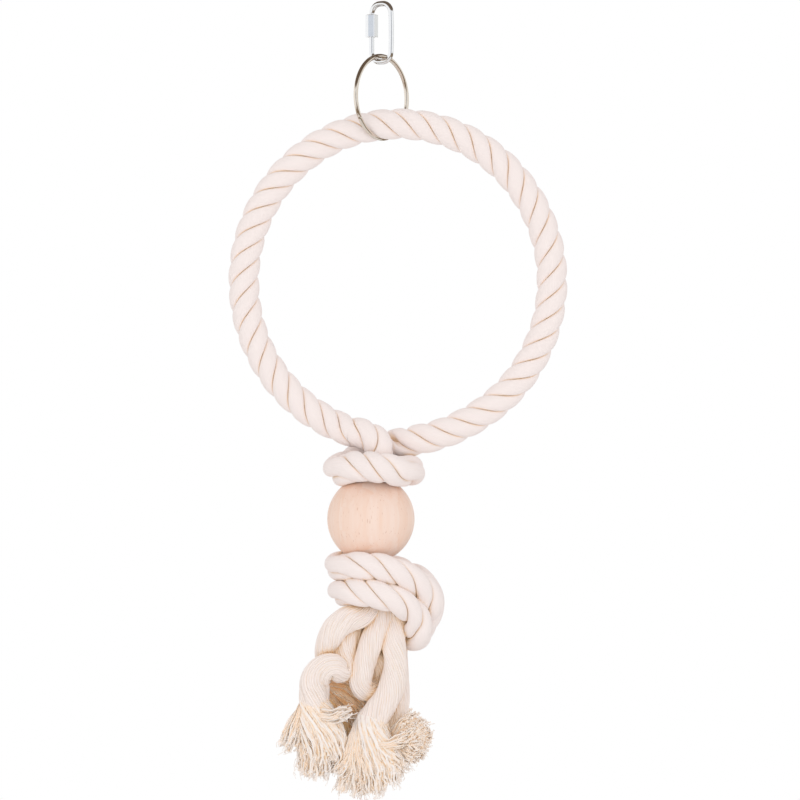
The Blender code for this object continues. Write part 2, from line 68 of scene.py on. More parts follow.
# The six tails. Below the knot the two rope ends are unlaid into soft strands of cotton yarn, side by side
# and hardly twisted. Each is a round core with yarns lying along it, and its tip frays into a brush of
# single yarns.
class Field:
    """What a node gives out. Plain arithmetic on it adds the nodes that do the sum."""

    def __init__(self, socket):
        self.socket = socket
        self.tree = socket.id_data
        self.is_vector = socket.type in ("VECTOR", "RGBA")

    def __add__(self, other):
        return calc("ADD", self, other)

    def __radd__(self, other):
        return calc("ADD", other, self)

    def __sub__(self, other):
        return calc("SUBTRACT", self, other)

    def __rsub__(self, other):
        return calc("SUBTRACT", other, self)

    def __mul__(self, other):
        if self.is_vector:
            return put(self.tree, "ShaderNodeVectorMath", {0: self, "Scale": other}, operation="SCALE")
        return calc("MULTIPLY", self, other)

    def __truediv__(self, other):
        return calc("DIVIDE", self, other)

    def __pow__(self, other):
        return calc("POWER", self, other)

    def __abs__(self):
        return calc("ABSOLUTE", self)


def feed(node, sockets):
    """Feeds a node's inputs, from plain values or from other nodes."""
    for socket, value in sockets.items():
        if isinstance(value, Field):
            node.id_data.links.new(value.socket, node.inputs[socket])
        else:
            entry = node.inputs[socket]
            entry.default_value = (*value, 1.0) if entry.type == "RGBA" else value


def add(tree, kind, sockets=None, **options):
    """Adds a node, sets its options and feeds its inputs."""
    node = tree.nodes.new(kind)
    for option, value in options.items():
        setattr(node, option, value)
    feed(node, sockets or {})
    return node


def put(tree, kind, sockets=None, output=0, **options):
    """Adds a node for the sake of one of its outputs."""
    return Field(add(tree, kind, sockets, **options).outputs[output])


def calc(operation, first, second=None):
    """One sum on numbers or on vectors, of which at least one comes from a node."""
    known = first if isinstance(first, Field) else second
    kind = "ShaderNodeVectorMath" if known.is_vector else "ShaderNodeMath"
    sockets = {0: first} if second is None else {0: first, 1: second}
    return put(known.tree, kind, sockets, operation=operation)


def combine(x, y, z=0.0):
    return put(x.tree, "ShaderNodeCombineXYZ", {0: x, 1: y, 2: z})


def split(vector):
    return [Field(part) for part in add(vector.tree, "ShaderNodeSeparateXYZ", {0: vector}).outputs]


def noise(place, scale=1.0, detail=2.0, output="Fac"):
    return put(place.tree, "ShaderNodeTexNoise", {"Vector": place, "Scale": scale, "Detail": detail}, output)


def ranged(value, low, high, to_low=0.0, to_high=1.0, **options):
    """A value brought from one range to another, and held to its ends."""
    sockets = {"Value": value, "From Min": low, "From Max": high, "To Min": to_low, "To Max": to_high}
    return put(value.tree, "ShaderNodeMapRange", sockets, **options)


def turned(vector, axis, angle):
    sockets = {"Vector": vector, "Axis": axis, "Angle": angle}
    return put(vector.tree, "ShaderNodeVectorRotate", sockets, rotation_type="AXIS_ANGLE")


def stored(tree, name, kind="FLOAT"):
    """A value that each point of a route carries."""
    return put(tree, "GeometryNodeInputNamedAttribute", {"Name": name}, data_type=kind)


def keep(geometry, name, value, kind="FLOAT"):
    """Stores a value on the points, for later nodes or for the material."""
    sockets = {"Geometry": geometry, "Name": name, "Value": value}
    return put(geometry.tree, "GeometryNodeStoreNamedAttribute", sockets, data_type=kind, domain="POINT")


def by_chance(tree, low, high, of, seed):
    """A number drawn for each yarn, or for each lock of yarns."""
    sockets = {2: low, 3: high, 7: of, 8: seed}
    return put(tree, "FunctionNodeRandomValue", sockets, 1, data_type="FLOAT")


def moved(geometry, **sockets):
    return put(geometry.tree, "GeometryNodeSetPosition", {"Geometry": geometry, **sockets})


def repeated(line, amount):
    """Copies of a line, and the number of each copy."""
    sockets = {"Geometry": line, "Amount": amount}
    many = add(line.tree, "GeometryNodeDuplicateElements", sockets, domain="SPLINE").outputs
    return Field(many["Geometry"]), Field(many["Duplicate Index"])


def trimmed(line, end):
    """The first part of a line, up to a share of its length."""
    return put(line.tree, "GeometryNodeTrimCurve", {0: line, 2: 0.0, 3: end}, mode="FACTOR")


def circle(tree, corners):
    return put(tree, "GeometryNodeCurvePrimitiveCircle", {"Resolution": corners, "Radius": 1.0})


def swept(line, profile, scale):
    """A profile drawn along a line, with both ends closed."""
    sockets = {"Curve": line, "Profile Curve": profile, "Scale": scale, "Fill Caps": True}
    return put(line.tree, "GeometryNodeCurveToMesh", sockets)


def routed(tree, given, winding=0.0):
    """The route as a line, on which profiles are turned by an angle at each point."""
    line = put(tree, "GeometryNodeMeshToCurve", {"Mesh": given["Route"]})
    outward = turned(stored(tree, "cross", VECTOR), stored(tree, "heading", VECTOR), winding)
    return put(tree, "GeometryNodeSetCurveNormal", {"Curve": line, "Normal": outward}, mode="FREE")


def start_tree(name, inputs, outputs, kind="GeometryNodeTree"):
    """A tree with named inputs and outputs. A number is a usual value, and a word is a kind of socket."""
    tree = bpy.data.node_groups.new(name, kind)
    for way, sockets in (("INPUT", inputs), ("OUTPUT", outputs)):
        for socket, usual in sockets.items():
            word = usual if isinstance(usual, str) else type(usual).__name__.title()
            made = tree.interface.new_socket(socket, in_out=way, socket_type="NodeSocket" + word)
            if word != usual:
                made.default_value = usual
    given = tree.nodes.new("NodeGroupInput").outputs
    return tree, {socket.name: Field(socket) for socket in given if socket.name}


def end_tree(geometry, given, rounded=True):
    """Shades the piece, with flat caps on its cut ends, makes it one real mesh and gives it its material."""
    tree = geometry.tree
    shaded = put(tree, "GeometryNodeSetShadeSmooth", {"Geometry": geometry, "Shade Smooth": rounded})
    corners = put(tree, "GeometryNodeInputMeshFaceNeighbors", output="Vertex Count")
    sockets = {"Geometry": shaded, "Selection": calc("GREATER_THAN", corners, 4), "Shade Smooth": False}
    shaded = put(tree, "GeometryNodeSetShadeSmooth", sockets)
    real = put(tree, "GeometryNodeRealizeInstances", {"Geometry": shaded})
    dressed = put(tree, "GeometryNodeSetMaterial", {"Geometry": real, "Material": given["Material"]})
    add(tree, "NodeGroupOutput", {"Piece": dressed})


def along(stations, step):
    """A smooth route through stations of (x, y, z, scale), with a point at every step.

    Each point has a heading, a cross direction, a run so far and a scale. Marks are the stations' own runs.
    """
    stations = np.array(stations, dtype=float)
    chords = np.linalg.norm(np.diff(stations[:, :3], axis=0), axis=1)
    slopes = np.gradient(stations, np.concatenate(([0.0], np.cumsum(chords))), axis=0)
    pieces = 16
    share = np.linspace(0, 1, pieces, endpoint=False)[:, None]
    spans = []
    for index, chord in enumerate(chords):
        spans.append(
            (2 * share**3 - 3 * share**2 + 1) * stations[index]
            + (share**3 - 2 * share**2 + share) * slopes[index] * chord
            + (3 * share**2 - 2 * share**3) * stations[index + 1]
            + (share**3 - share**2) * slopes[index + 1] * chord
        )
    fine = np.concatenate(spans + [stations[-1:]])
    lengths = np.concatenate(([0.0], np.cumsum(np.linalg.norm(np.diff(fine[:, :3], axis=0), axis=1))))
    runs = np.linspace(0, lengths[-1], max(3, round(lengths[-1] / step)) + 1)
    even = np.column_stack([np.interp(runs, lengths, fine[:, axis]) for axis in range(4)])
    headings = np.gradient(even[:, :3], axis=0)
    headings /= np.linalg.norm(headings, axis=1)[:, None]
    crosses = [Vector(np.cross(headings[0], (0.0, 1.0, 0.0))).normalized()]
    for before, after in zip(headings[:-1], headings[1:]):
        crosses.append(Vector(before).rotation_difference(Vector(after)) @ crosses[-1])
    return {
        "point": even[:, :3],
        "heading": headings,
        "cross": np.array(crosses),
        "run": runs,
        "scale": even[:, 3],
        "marks": lengths[::pieces],
    }


def part_of(route, start, stop):
    """The stretch of a route between two lengths along it."""
    hair = 1e-7
    chosen = (route["run"] > start - hair) & (route["run"] < stop + hair)
    return {name: values[chosen] for name, values in route.items() if name != "marks"}


def bench(name, mesh, tree, **sizes):
    """An object that runs a tree on a mesh, with the sizes given to it. It is taken away afterwards."""
    made = placed(name, mesh)
    maker = made.modifiers.new("maker", "NODES")
    maker.node_group = tree
    for item in tree.interface.items_tree:
        size = item.name.lower().replace(" ", "_")
        if item.in_out == "INPUT" and size in sizes:
            maker[item.identifier] = sizes[size]
    return made


def grow(name, tree, route, material, **sizes):
    """Runs a tree on a route and keeps the result as a plain mesh piece."""
    mesh = bpy.data.meshes.new(name)
    count = len(route["point"])
    mesh.from_pydata([tuple(point) for point in route["point"]], [(i, i + 1) for i in range(count - 1)], [])
    for key, values in route.items():
        if key not in ("point", "marks"):
            kind, field = (VECTOR, "vector") if values.ndim == 2 else ("FLOAT", "value")
            mesh.attributes.new(key, kind, "POINT").data.foreach_set(field, values.ravel())
    maker = bench(name + "_route", mesh, tree, material=material, **sizes)
    plain = bpy.data.meshes.new_from_object(maker.evaluated_get(bpy.context.evaluated_depsgraph_get()))
    bpy.data.objects.remove(maker)
    bpy.data.meshes.remove(mesh)
    plain.name = name
    return placed(name, plain)


def strand_tree():
    """A soft strand along a route, as thick at each point as the route says.

    It has a fine ridge for every yarn on it, and long shallow folds where the yarns lie in groups.
    """
    sizes = {"Yarns": 28, "Ridge": 0.055, "Uneven": 0.05, "Lay": -0.095, "Folds": 0.003, "Seed": 1}
    tree, given = start_tree("unlaid strand", {**ROUTE, **sizes}, PIECE)
    yarn_corners, folds_around, folds_along, next_strand, strand_width = 6.0, 1.5, 32.0, 7.3, 40.0
    corner = put(tree, "GeometryNodeInputIndex")
    yarn = corner / yarn_corners
    hollow = 1 - abs(calc("SINE", yarn * math.pi))
    level = by_chance(tree, 0.0, 1.0, calc("FLOOR", yarn), given["Seed"])
    sunk = hollow * given["Ridge"] + level * given["Uneven"]
    corners = given["Yarns"] * yarn_corners
    ring = keep(circle(tree, corners), "hollow", hollow)
    ring = keep(ring, "turn", corner / corners)
    ring = moved(ring, Position=put(tree, "GeometryNodeInputPosition") * (1 - sunk))
    run, turn = stored(tree, "run"), stored(tree, "turn")
    line = routed(tree, given, run / given["Lay"] * FULL_TURN)
    tube = swept(line, ring, stored(tree, "scale"))
    around = turn * FULL_TURN
    fold = combine(
        calc("COSINE", around) * folds_around,
        calc("SINE", around) * folds_around,
        run * folds_along + given["Seed"] * next_strand,
    )
    push = (noise(fold) - 0.5) * given["Folds"]
    tube = moved(tube, Offset=put(tree, "GeometryNodeInputNormal") * push)
    spot = combine(run / MM, turn * strand_width, stored(tree, "hollow"))
    end_tree(keep(tube, "lay", spot, VECTOR), given)
    return tree


def tuft_tree():
    """A frayed tuft along a route.

    Locks of single yarns part, curl and end unevenly, round a packed middle.
    """
    sizes = {"Yarns": 260, "Lock": 7, "Thickness": 0.00056, "Lay": -0.08, "Curl": 0.009, "Ragged": 0.34}
    sizes |= {"Packed": 0.9, "Paleness": 1.0, "Seed": 1}
    tree, given = start_tree("frayed tuft", {**ROUTE, **sizes}, PIECE)
    line = put(tree, "GeometryNodeMeshToCurve", {"Mesh": given["Route"]})
    lines, number = repeated(line, given["Yarns"])
    lines = keep(lines, "yarn", number)
    yarn, run, loose, scale = (stored(tree, name) for name in ("yarn", "run", "loose", "scale"))
    cross, heading = (stored(tree, name, VECTOR) for name in ("cross", "heading"))
    lock = calc("FLOOR", yarn / given["Lock"])
    here = put(tree, "GeometryNodeInputPosition")

    def chance(low, high, of, shift):
        """A draw of its own, told apart from the others by a shift of the seed."""
        return by_chance(tree, low, high, of, given["Seed"] + shift)

    def beside(angle, distance):
        return turned(cross, heading, angle) * distance

    def sway(of, pace, amount):
        next_sway = 3.7
        swirl = noise(combine(run * pace, of * next_sway, given["Seed"]), 1.0, 1.0, "Color")
        return (swirl - (0.5, 0.5, 0.5)) * amount

    # The locks lie round the strand, each yarn has its place in its lock, and both sway more at the tip.
    golden_turn, lost_twist, hair_share = 2.39996, 0.45, 0.2
    lock_pace, yarn_pace, least_sway, yarn_curl = 45.0, 150.0, 0.8 * MM, 0.7
    closed_lock, opening = 0.9 * MM, 1.1 * MM
    twist = run * (1 - loose * lost_twist) / given["Lay"] * FULL_TURN
    shift = beside(lock * golden_turn + twist, scale * chance(0.86, 1.06, lock, 110))
    lock_width = closed_lock + loose * opening
    shift = shift + beside(yarn * golden_turn, chance(0.0, 1.0, yarn, 210) ** 0.5 * lock_width)
    curl = loose * given["Curl"]
    hair = calc("LESS_THAN", chance(0.0, 1.0, yarn, 810), hair_share)
    shift = shift + sway(lock, lock_pace, curl)
    shift = shift + sway(yarn, yarn_pace, least_sway + curl * (yarn_curl + hair))
    end = calc("MAXIMUM", 1 - chance(0.0, 1.0, yarn, 370) * given["Ragged"], hair)
    cut = trimmed(moved(lines, Offset=shift), end)

    # Yarns that lie deep between the strands get painted shade, a warmer and darker tone set by the tuft's
    # paleness. Those far back or at the tips stay pale, and some locks are paler at random.
    deepest, airy, tip_air, fairest, swelling, hair_loss = 3 * MM, 13 * MM, 0.6, 0.55, 0.35, 0.65
    aired = calc("MAXIMUM", ranged(split(here)[1], deepest, airy), loose**4.0 * tip_air)
    paleness = ranged(aired, 0.0, 1.0, given["Paleness"], 1.0)
    tone = chance(0.85, 1.2, yarn, 530) * chance(0.85, 1.08, lock, 640)
    fair = chance(0.0, 1.0, lock, 920) ** 2.0 * fairest * (1 - paleness)
    cut = keep(cut, "tone", tone * paleness + fair)
    thick = given["Thickness"] * chance(0.75, 1.25, yarn, 710)
    thick = thick * (1 + loose * swelling) * (1 - hair * hair_loss)
    loose_yarns = swept(cut, circle(tree, 3), thick)

    # The packed middle is a notched rod that thins out and ends before the yarns do.
    notches, notch, rod_end, rod_shade_tone, rod_taper = 56, 0.07, 0.94, 0.62, 0.2
    dent = 1 - notch + calc("COSINE", put(tree, "GeometryNodeInputIndex") * math.pi) * notch
    star = moved(circle(tree, notches), Position=here * dent)
    width = scale * given["Packed"] * (1 - loose**2.0 * rod_taper)
    # Painted shade: the packed middle takes a warmer, darker tone than the yarns, and shows in the gaps
    # between them.
    packed = keep(swept(trimmed(line, rod_end), star, width), "tone", paleness * rod_shade_tone)
    both = add(tree, "GeometryNodeJoinGeometry")
    for part in (loose_yarns, packed):
        feed(both, {0: part})
    end_tree(Field(both.outputs[0]), given, rounded=False)
    return tree


def start_material(name):
    """A material with its Principled shader ready."""
    material = bpy.data.materials.new(name)
    material.use_nodes = True
    return material, material.node_tree, material.node_tree.nodes["Principled BSDF"]


def blended(amount, first, second, **options):
    """A mix of two colours, each plain or from a node."""
    sockets = {0: amount, 6: first, 7: second}
    return put(amount.tree, "ShaderNodeMix", sockets, 2, data_type="RGBA", **options)


def ramp(value, colours):
    """A colour that changes with a value, through colours that each have a place from 0 to 1."""
    made = add(value.tree, "ShaderNodeValToRGB", {"Fac": value})
    stops = made.color_ramp.elements
    for place, colour in colours.items():
        stop = stops[0] if place == 0 else stops[-1] if place == 1 else stops.new(place)
        stop.color = (*colour, 1.0)
    return Field(made.outputs["Color"])


def bumped(height, strength, distance):
    sockets = {"Height": height, "Strength": strength, "Distance": distance}
    return put(height.tree, "ShaderNodeBump", sockets, "Normal")


def carried(tree, name, output="Fac"):
    """A value that the piece's own points carry to its material."""
    return put(tree, "ShaderNodeAttribute", None, output, attribute_name=name)


def cotton_group():
    """Cotton yarn along a strand: fine lines, soft slubs, and painted warm shade between yarns, in grooves
    and nooks.

    Lay is the place on the strand: millimetres along and across it, and how near it is to a groove.
    """
    inputs = {"Lay": "Vector", "Yarn Pitch": 1.0, "Groove Edge": 18.0, "Broken": 0.0, "Nook": 0.0}
    inputs |= {"Light Cotton": "Color", "Shaded Cotton": "Color", "Groove Shade Cotton": "Color"}
    group, given = start_tree("cotton yarn", inputs, {"Colour": "Color", "Height": "Float"}, "ShaderNodeTree")
    lengthwise, crosswise, grooved = split(given["Lay"])

    def drawn_out(pace, pace_across, detail):
        """Noise that is drawn out along the yarns."""
        return noise(combine(lengthwise * pace, crosswise * pace_across), 1.0, detail)

    wander, yarn_round, fuzz_height, low, high, most_tint = 1.6, 0.6, 0.6, 0.35, 1.15, 0.75
    unbroken, broken, most_groove = 0.6, 0.42, 0.85
    drift = drawn_out(pace=0.05, pace_across=0.35, detail=2.0)
    fuzz = drawn_out(pace=0.3, pace_across=3.0, detail=3.0)
    patch = drawn_out(pace=0.14, pace_across=0.7, detail=1.0)
    across = crosswise / given["Yarn Pitch"] + drift * wander
    height = abs(calc("SINE", across * math.pi)) ** yarn_round + fuzz * fuzz_height
    # Painted shade: the shaded colour fills the low valleys between the yarn ridges.
    tint = (1 - ranged(height, low, high)) * most_tint
    body = blended(tint, given["Light Cotton"], given["Shaded Cotton"])
    hidden = ranged(patch, unbroken, broken, 0.0, given["Broken"])
    # Painted shade: the groove colour darkens and warms the cotton near each groove, except in broken
    # patches.
    groove = grooved ** given["Groove Edge"] * most_groove * (1 - hidden)
    colour = blended(groove, body, given["Groove Shade Cotton"])
    # Painted shade: the colour is multiplied by a warm tint as far as the point is hemmed in by other pieces.
    colour = blended(given["Nook"], colour, NOOK_SHADE_TINT, blend_type="MULTIPLY")
    add(group, "NodeGroupOutput", {"Colour": colour, "Height": height})
    return group


def cotton_material(name, bump, looks):
    material, tree, shader = start_material(name)
    sockets = {**looks, "Lay": carried(tree, "lay", "Vector"), "Nook": carried(tree, "nook")}
    yarn = add(tree, "ShaderNodeGroup", sockets, node_tree=COTTON).outputs
    raised = bumped(Field(yarn["Height"]), strength=bump, distance=0.3 * MM)
    feed(shader, {"Base Color": Field(yarn["Colour"]), "Normal": raised, **MATT})
    return material


def loose_yarn_material():
    """Single yarns of the tails and their frayed tips, each a shade lighter or warmer than the next."""
    material, tree, shader = start_material("loose cotton yarn")
    lint_scale, lint_tone = 900.0, 0.4
    lint = noise(put(tree, "ShaderNodeTexCoord", output="Object"), lint_scale)
    raised = bumped(lint, strength=0.35, distance=0.2 * MM)
    # The warm low end of the ramp is painted shade, for yarns deep between the strands and the packed middle.
    shades = {0: (0.98, 0.63, 0.27), 0.5: (0.985, 0.88, 0.78), 1: (0.995, 0.935, 0.90)}
    colour = ramp(carried(tree, "tone") + (lint - 0.5) * lint_tone, shades)
    # Painted shade: a warm tint is multiplied in where yarns are hemmed in by other pieces.
    colour = blended(carried(tree, "nook"), colour, YARN_NOOK_SHADE_TINT, blend_type="MULTIPLY")
    sheen = {"Sheen Weight": 0.8, "Sheen Roughness": 0.6, "Sheen Tint": (1.0, 0.94, 0.88)}
    feed(shader, {"Base Color": colour, "Normal": raised, **MATT, **sheen})
    return material


FULL_TURN = 2 * math.pi
VECTOR = "FLOAT_VECTOR"
ROUTE = {"Route": "Geometry", "Material": "Material"}
PIECE = {"Piece": "Geometry"}
MATT = {"Roughness": 0.92, "Specular IOR Level": 0.2}
# Painted shade: warm tints multiplied into the cotton's colour where pieces press close round it.
NOOK_SHADE_TINT = (1.0, 0.80, 0.45)
YARN_NOOK_SHADE_TINT = (1.0, 0.78, 0.50)
COTTON = cotton_group()
STRAND = strand_tree()
TUFT = tuft_tree()
# The shaded and groove colours are painted shade: warmer, darker cotton in the hollows between the yarns.
strand_cotton = cotton_material("unlaid cotton", bump=0.5, looks={
    "Light Cotton": (0.985, 0.89, 0.845),
    "Shaded Cotton": (0.95, 0.82, 0.74),
    "Groove Shade Cotton": (0.9, 0.72, 0.58),
    "Yarn Pitch": 0.83,
    "Groove Edge": 2.2,
    "Broken": 0.95,
})
yarn_cotton = loose_yarn_material()

# Routes in millimetres from the knot's own place, with the radius at each station: a strand's own route
# first, then the routes of its tufts.
KNOT_PLACE = (-6.2, 0.0, -329.05)
TAILS = {
    "tail_strand_1": [
        [(0, -9, -18.8, 5), (0.6, -10.8, -24, 5.6), (-4.4, -13.8, -28.2, 6.6), (-13.4, -16.6, -30.4, 7.9),
         (-20, -18, -35, 8), (-24, -16.4, -41.5, 7.4), (-26.4, -9.8, -49, 6.4), (-27.4, -0.5, -56.5, 6),
         (-27, 9, -68, 6.6), (-25.5, 12, -82, 5.5)],
        [(-26.6, 10, -71, 4.6), (-22, 11, -84, 7.6), (-18.5, 8, -100, 7.5), (-17, 5, -114, 6)],
        [(-26.8, 10, -72, 4.6), (-28, 10, -90, 6.5), (-30, 8, -107, 7), (-33, 6, -121, 6)],
        [(-26.6, 8, -66, 4.4), (-18.5, 9, -71, 7), (-11.5, 8.5, -80.5, 7.8), (-4.5, 7.5, -93, 6.5)],
    ],
    "tail_strand_2": [
        [(3.2, 1, -18, 5), (-2.5, 0, -26, 6), (-9, -4, -34, 6.8), (-13.6, -9, -42, 7.2),
         (-15.4, -10.6, -50, 7), (-15.4, -11.8, -57, 6.8), (-17.2, -16, -61.6, 6.6),
         (-21.4, -19.6, -57.6, 7.2), (-27.2, -19, -59, 8.4), (-32.2, -16.8, -65, 9), (-33.2, -15, -73, 9.2),
         (-33.2, -13.8, -82, 8.8), (-33, -13.4, -90, 6.5)],
        [(-36.5, -14, -79, 3.4), (-41.6, -15.5, -89, 3.8), (-46.2, -16.5, -99, 4.4),
         (-50.2, -17.5, -108, 4.2)],
        [(-33.4, -13.8, -77, 7.6), (-32.2, -14.5, -91, 9.4), (-31.4, -14.5, -105, 9.2), (-34, -13, -122, 7)],
        [(-32, -13.8, -79, 6), (-26.4, -16, -91, 7.4), (-22.2, -17, -102, 7.2), (-20, -16, -114, 6)],
        [(-28.5, -20, -85, 3.5), (-22.2, -22, -87, 3.2), (-16.5, -22.5, -85.6, 3.4), (-11.8, -22, -83, 3.2)],
    ],
    "tail_strand_3": [
        [(9, -8.5, -18, 5), (7.6, -11, -29.7, 6), (2.2, -12.8, -40, 7.3), (-2.2, -13.5, -51, 7.2),
         (-4.8, -13.6, -60, 7.4), (-5.9, -12.5, -66.5, 7.2), (-4.2, -9.8, -71, 7), (1.5, -5, -72.4, 6.8),
         (7.5, 0.5, -73, 6.8), (12, 6, -78, 6.6), (14, 9, -87, 5.5)],
        [(12.6, 7.4, -80, 4.6), (13.8, 8.6, -91, 6.4), (13.5, 7, -103, 6.5), (14, 4, -117, 6)],
    ],
    "tail_strand_4": [
        [(15.4, -7, -18, 5), (14.8, -8.6, -31, 6.2), (13.6, -12, -43, 7.2), (14.2, -13, -54.6, 7.1),
         (13.6, -13.2, -65.2, 7.7), (10.5, -14, -74.5, 7.9), (4.2, -15, -84.5, 8.6), (-1.2, -15.5, -93, 8.6),
         (-3.6, -15.5, -103, 6.5)],
        [(0.4, -15, -87, 6), (-6.4, -17, -103, 7.2), (-12.4, -18, -115, 7.2), (-18.6, -18, -122, 6)],
        [(0.4, -15.2, -88, 7.4), (-4.8, -17, -106, 8.8), (-8.4, -17.5, -120, 9), (-11, -17, -132, 8)],
        [(1.2, -15.2, -88, 7.4), (-0.2, -17.5, -106, 8.6), (-0.4, -18, -120, 9.2), (-1, -17, -132.5, 8.4)],
        [(1.8, -15.4, -89, 6.4), (5.4, -17.5, -106, 7.6), (8.4, -18, -117, 8), (10.2, -17, -127, 7)],
        [(2.4, -16, -94, 6), (8.2, -18, -106, 6), (13.6, -18.5, -114, 6.4), (18, -18, -119.5, 5.5)],
    ],
    "tail_strand_5": [
        [(19, 1.8, -18, 5), (17.5, 3, -28, 5.6), (14.6, 4, -37, 6.4), (15, 4.4, -50, 6.6),
         (15.6, 3.6, -62, 6.8), (16, 0.4, -72, 6.8), (15, -2, -83, 7), (12.5, -4.5, -94, 6.6),
         (12.6, -8.5, -101, 6), (16.5, -12, -101.5, 5)],
        [(13, -8, -100, 5), (19.5, -13, -96, 5.4), (24, -17, -92.5, 5.6), (26.8, -20, -90.4, 5)],
        [(13, -8, -100.5, 5.2), (21, -14, -98.5, 6.2), (27, -18, -96.6, 6.6), (31.2, -21, -95.4, 6)],
        [(13, -8, -101, 5.2), (21, -14, -101.5, 6.2), (27, -18, -102, 6.8), (31.6, -21, -102.2, 6.2)],
        [(13, -8, -101.5, 5), (19.5, -14, -103.8, 5.6), (24.5, -18, -106, 5.8), (28, -21, -107.6, 5.2)],
        [(1, -21, -100.5, 3.2), (9, -22.5, -103.5, 3), (17, -23, -102, 3.2), (24, -23.5, -99.5, 3.2)],
    ],
    "tail_strand_6": [
        [(10, 2.5, -17, 5), (4, 2.4, -28, 6.2), (-2, 1, -38, 6.8), (0.8, -2, -48, 6.8), (4.6, -4.4, -57, 6.8),
         (3.4, 1.6, -66, 7), (-0.8, 10.5, -75, 7), (-5, 14, -84, 6.4), (-7.6, 14.8, -91, 4.8)],
        [(-4, 13.4, -81, 4.8), (-7.4, 14.6, -90, 6.8), (-9, 12.5, -101, 7.8), (-8.5, 10, -113, 7)],
    ],
}
STRAND_STEP, TUFT_STEP = 1.6 * MM, 2.1 * MM
FRAY_START = 0.4
FULL_YARNS, FULL_PACKED, WISP_PACKED = 260, 1.06, 0.3
WISPS = {"tail_strand_2_tuft_1": 70, "tail_strand_2_tuft_4": 45, "tail_strand_5_tuft_5": 50}
# Tufts deep in the gap behind the front strands get a low paleness, so their yarns carry strong painted
# shade. The fifth strand's tufts get a lower paleness too.
PALENESS = {"tail_strand_1_tuft_1": 0.06, "tail_strand_1_tuft_3": 0.06, "tail_strand_6_tuft_1": 0.06}
BACK_PALENESS = {"tail_strand_5": 0.7}


def from_knot(stations):
    """Stations in metres from stations in millimetres from the knot."""
    places = np.array(stations, dtype=float) + (*KNOT_PLACE, 0.0)
    return places * MM


for number, (name, (own, *others)) in enumerate(TAILS.items(), start=1):
    route = along(from_knot(own), STRAND_STEP)
    strand = grow(name + "_soft", STRAND, route, strand_cotton, seed=number)
    tufts = []
    for index, stations in enumerate(others, start=1):
        tuft = f"{name}_tuft_{index}"
        brush = along(from_knot(stations), TUFT_STEP)
        gone = brush["run"] / brush["run"][-1]
        brush["loose"] = np.clip(gone * (1 + FRAY_START) - FRAY_START, 0, 1)
        looks = {
            "yarns": WISPS.get(tuft, FULL_YARNS),
            "packed": WISP_PACKED if tuft in WISPS else FULL_PACKED,
            "paleness": PALENESS.get(tuft, BACK_PALENESS.get(name, 1.0)),
            "seed": 10 * number + index,
        }
        tufts.append(grow(tuft, TUFT, brush, yarn_cotton, **looks))
    for piece in [strand] + tufts:
        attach(piece, "rope")
    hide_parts(name)


# The rope. Three fat strands of cotton laid right-handed, broad and smooth with a narrow groove between them.
# One length makes the ring. Its right end is turned once round the left one as a collar, and both go down
# through the ball.
def laid_rope_tree():
    """Strands wound along a route: petals round the rope's middle that turn once in each lay length."""
    sizes = {"Rope Radius": 0.009, "Turn": 0.0, "Groove": 0.24, "Crease": 0.06}
    sizes |= {"Strands": 3, "Outer Points": 25}
    tree, given = start_tree("laid rope", {**ROUTE, **sizes}, PIECE)
    third, sixth = FULL_TURN / 3, FULL_TURN / 6
    groove_shape, crease_shape, petal_width, petal_foot = 3.0, 22.0, 0.985, 0.16
    corner, points = put(tree, "GeometryNodeInputIndex"), given["Outer Points"]
    here = put(tree, "GeometryNodeInputPosition")

    # A petal has its points on the strand's rounded outside, and two more close it near the rope's middle.
    outer = calc("LESS_THAN", corner, points - 0.5)
    swing = calc("MINIMUM", corner / (points - 1.0), 1.0) * 2.0 - 1.0
    side = calc("SINE", swing * (math.pi / 2))
    sunk = abs(side) ** groove_shape * given["Groove"] + abs(side) ** crease_shape * given["Crease"]
    sockets = {"Factor": outer, "A": points + 0.5 - corner, "B": side * petal_width}
    phi = put(tree, "ShaderNodeMix", sockets) * sixth
    sockets = {"Factor": outer, "A": petal_foot, "B": 1 - sunk}
    reach = put(tree, "ShaderNodeMix", sockets) * given["Rope Radius"]
    place = combine(reach * calc("COSINE", phi), reach * calc("SINE", phi))
    petal = keep(moved(circle(tree, points + 2.0), Position=place), "phi", phi)
    petals, number = repeated(petal, given["Strands"])
    petals = moved(petals, Position=turned(here, (0.0, 0.0, 1.0), number * third))

    winding = given["Turn"] + stored(tree, "wind")
    line = keep(routed(tree, given, winding), "middle", here, VECTOR)
    rope = swept(line, petals, stored(tree, "scale"))

    # Where the rope is bent hard its grooves are pressed deeper, and where it parts one of them opens.
    open_from, open_to, deepest, deep_shade = 0.68, 0.84, 0.9, 0.25
    phi, deep = stored(tree, "phi"), stored(tree, "deep")
    near = abs(phi) / sixth
    opened = ranged(near, open_from, open_to) * stored(tree, "gape")
    sink = calc("MINIMUM", near**2.0 * deep + opened, deepest)
    rope = moved(rope, Offset=(stored(tree, "middle", VECTOR) - here) * sink)
    # Painted shade: where the grooves are pressed deeper, the groove colour also spreads wider across the
    # strands.
    grooved = calc("MINIMUM", near * (1 + deep * deep_shade), 1.0)
    spot = combine(stored(tree, "run") / MM, (phi + winding) / MM * given["Rope Radius"], grooved)
    end_tree(keep(rope, "lay", spot, VECTOR), given)
    return tree


LAID = laid_rope_tree()
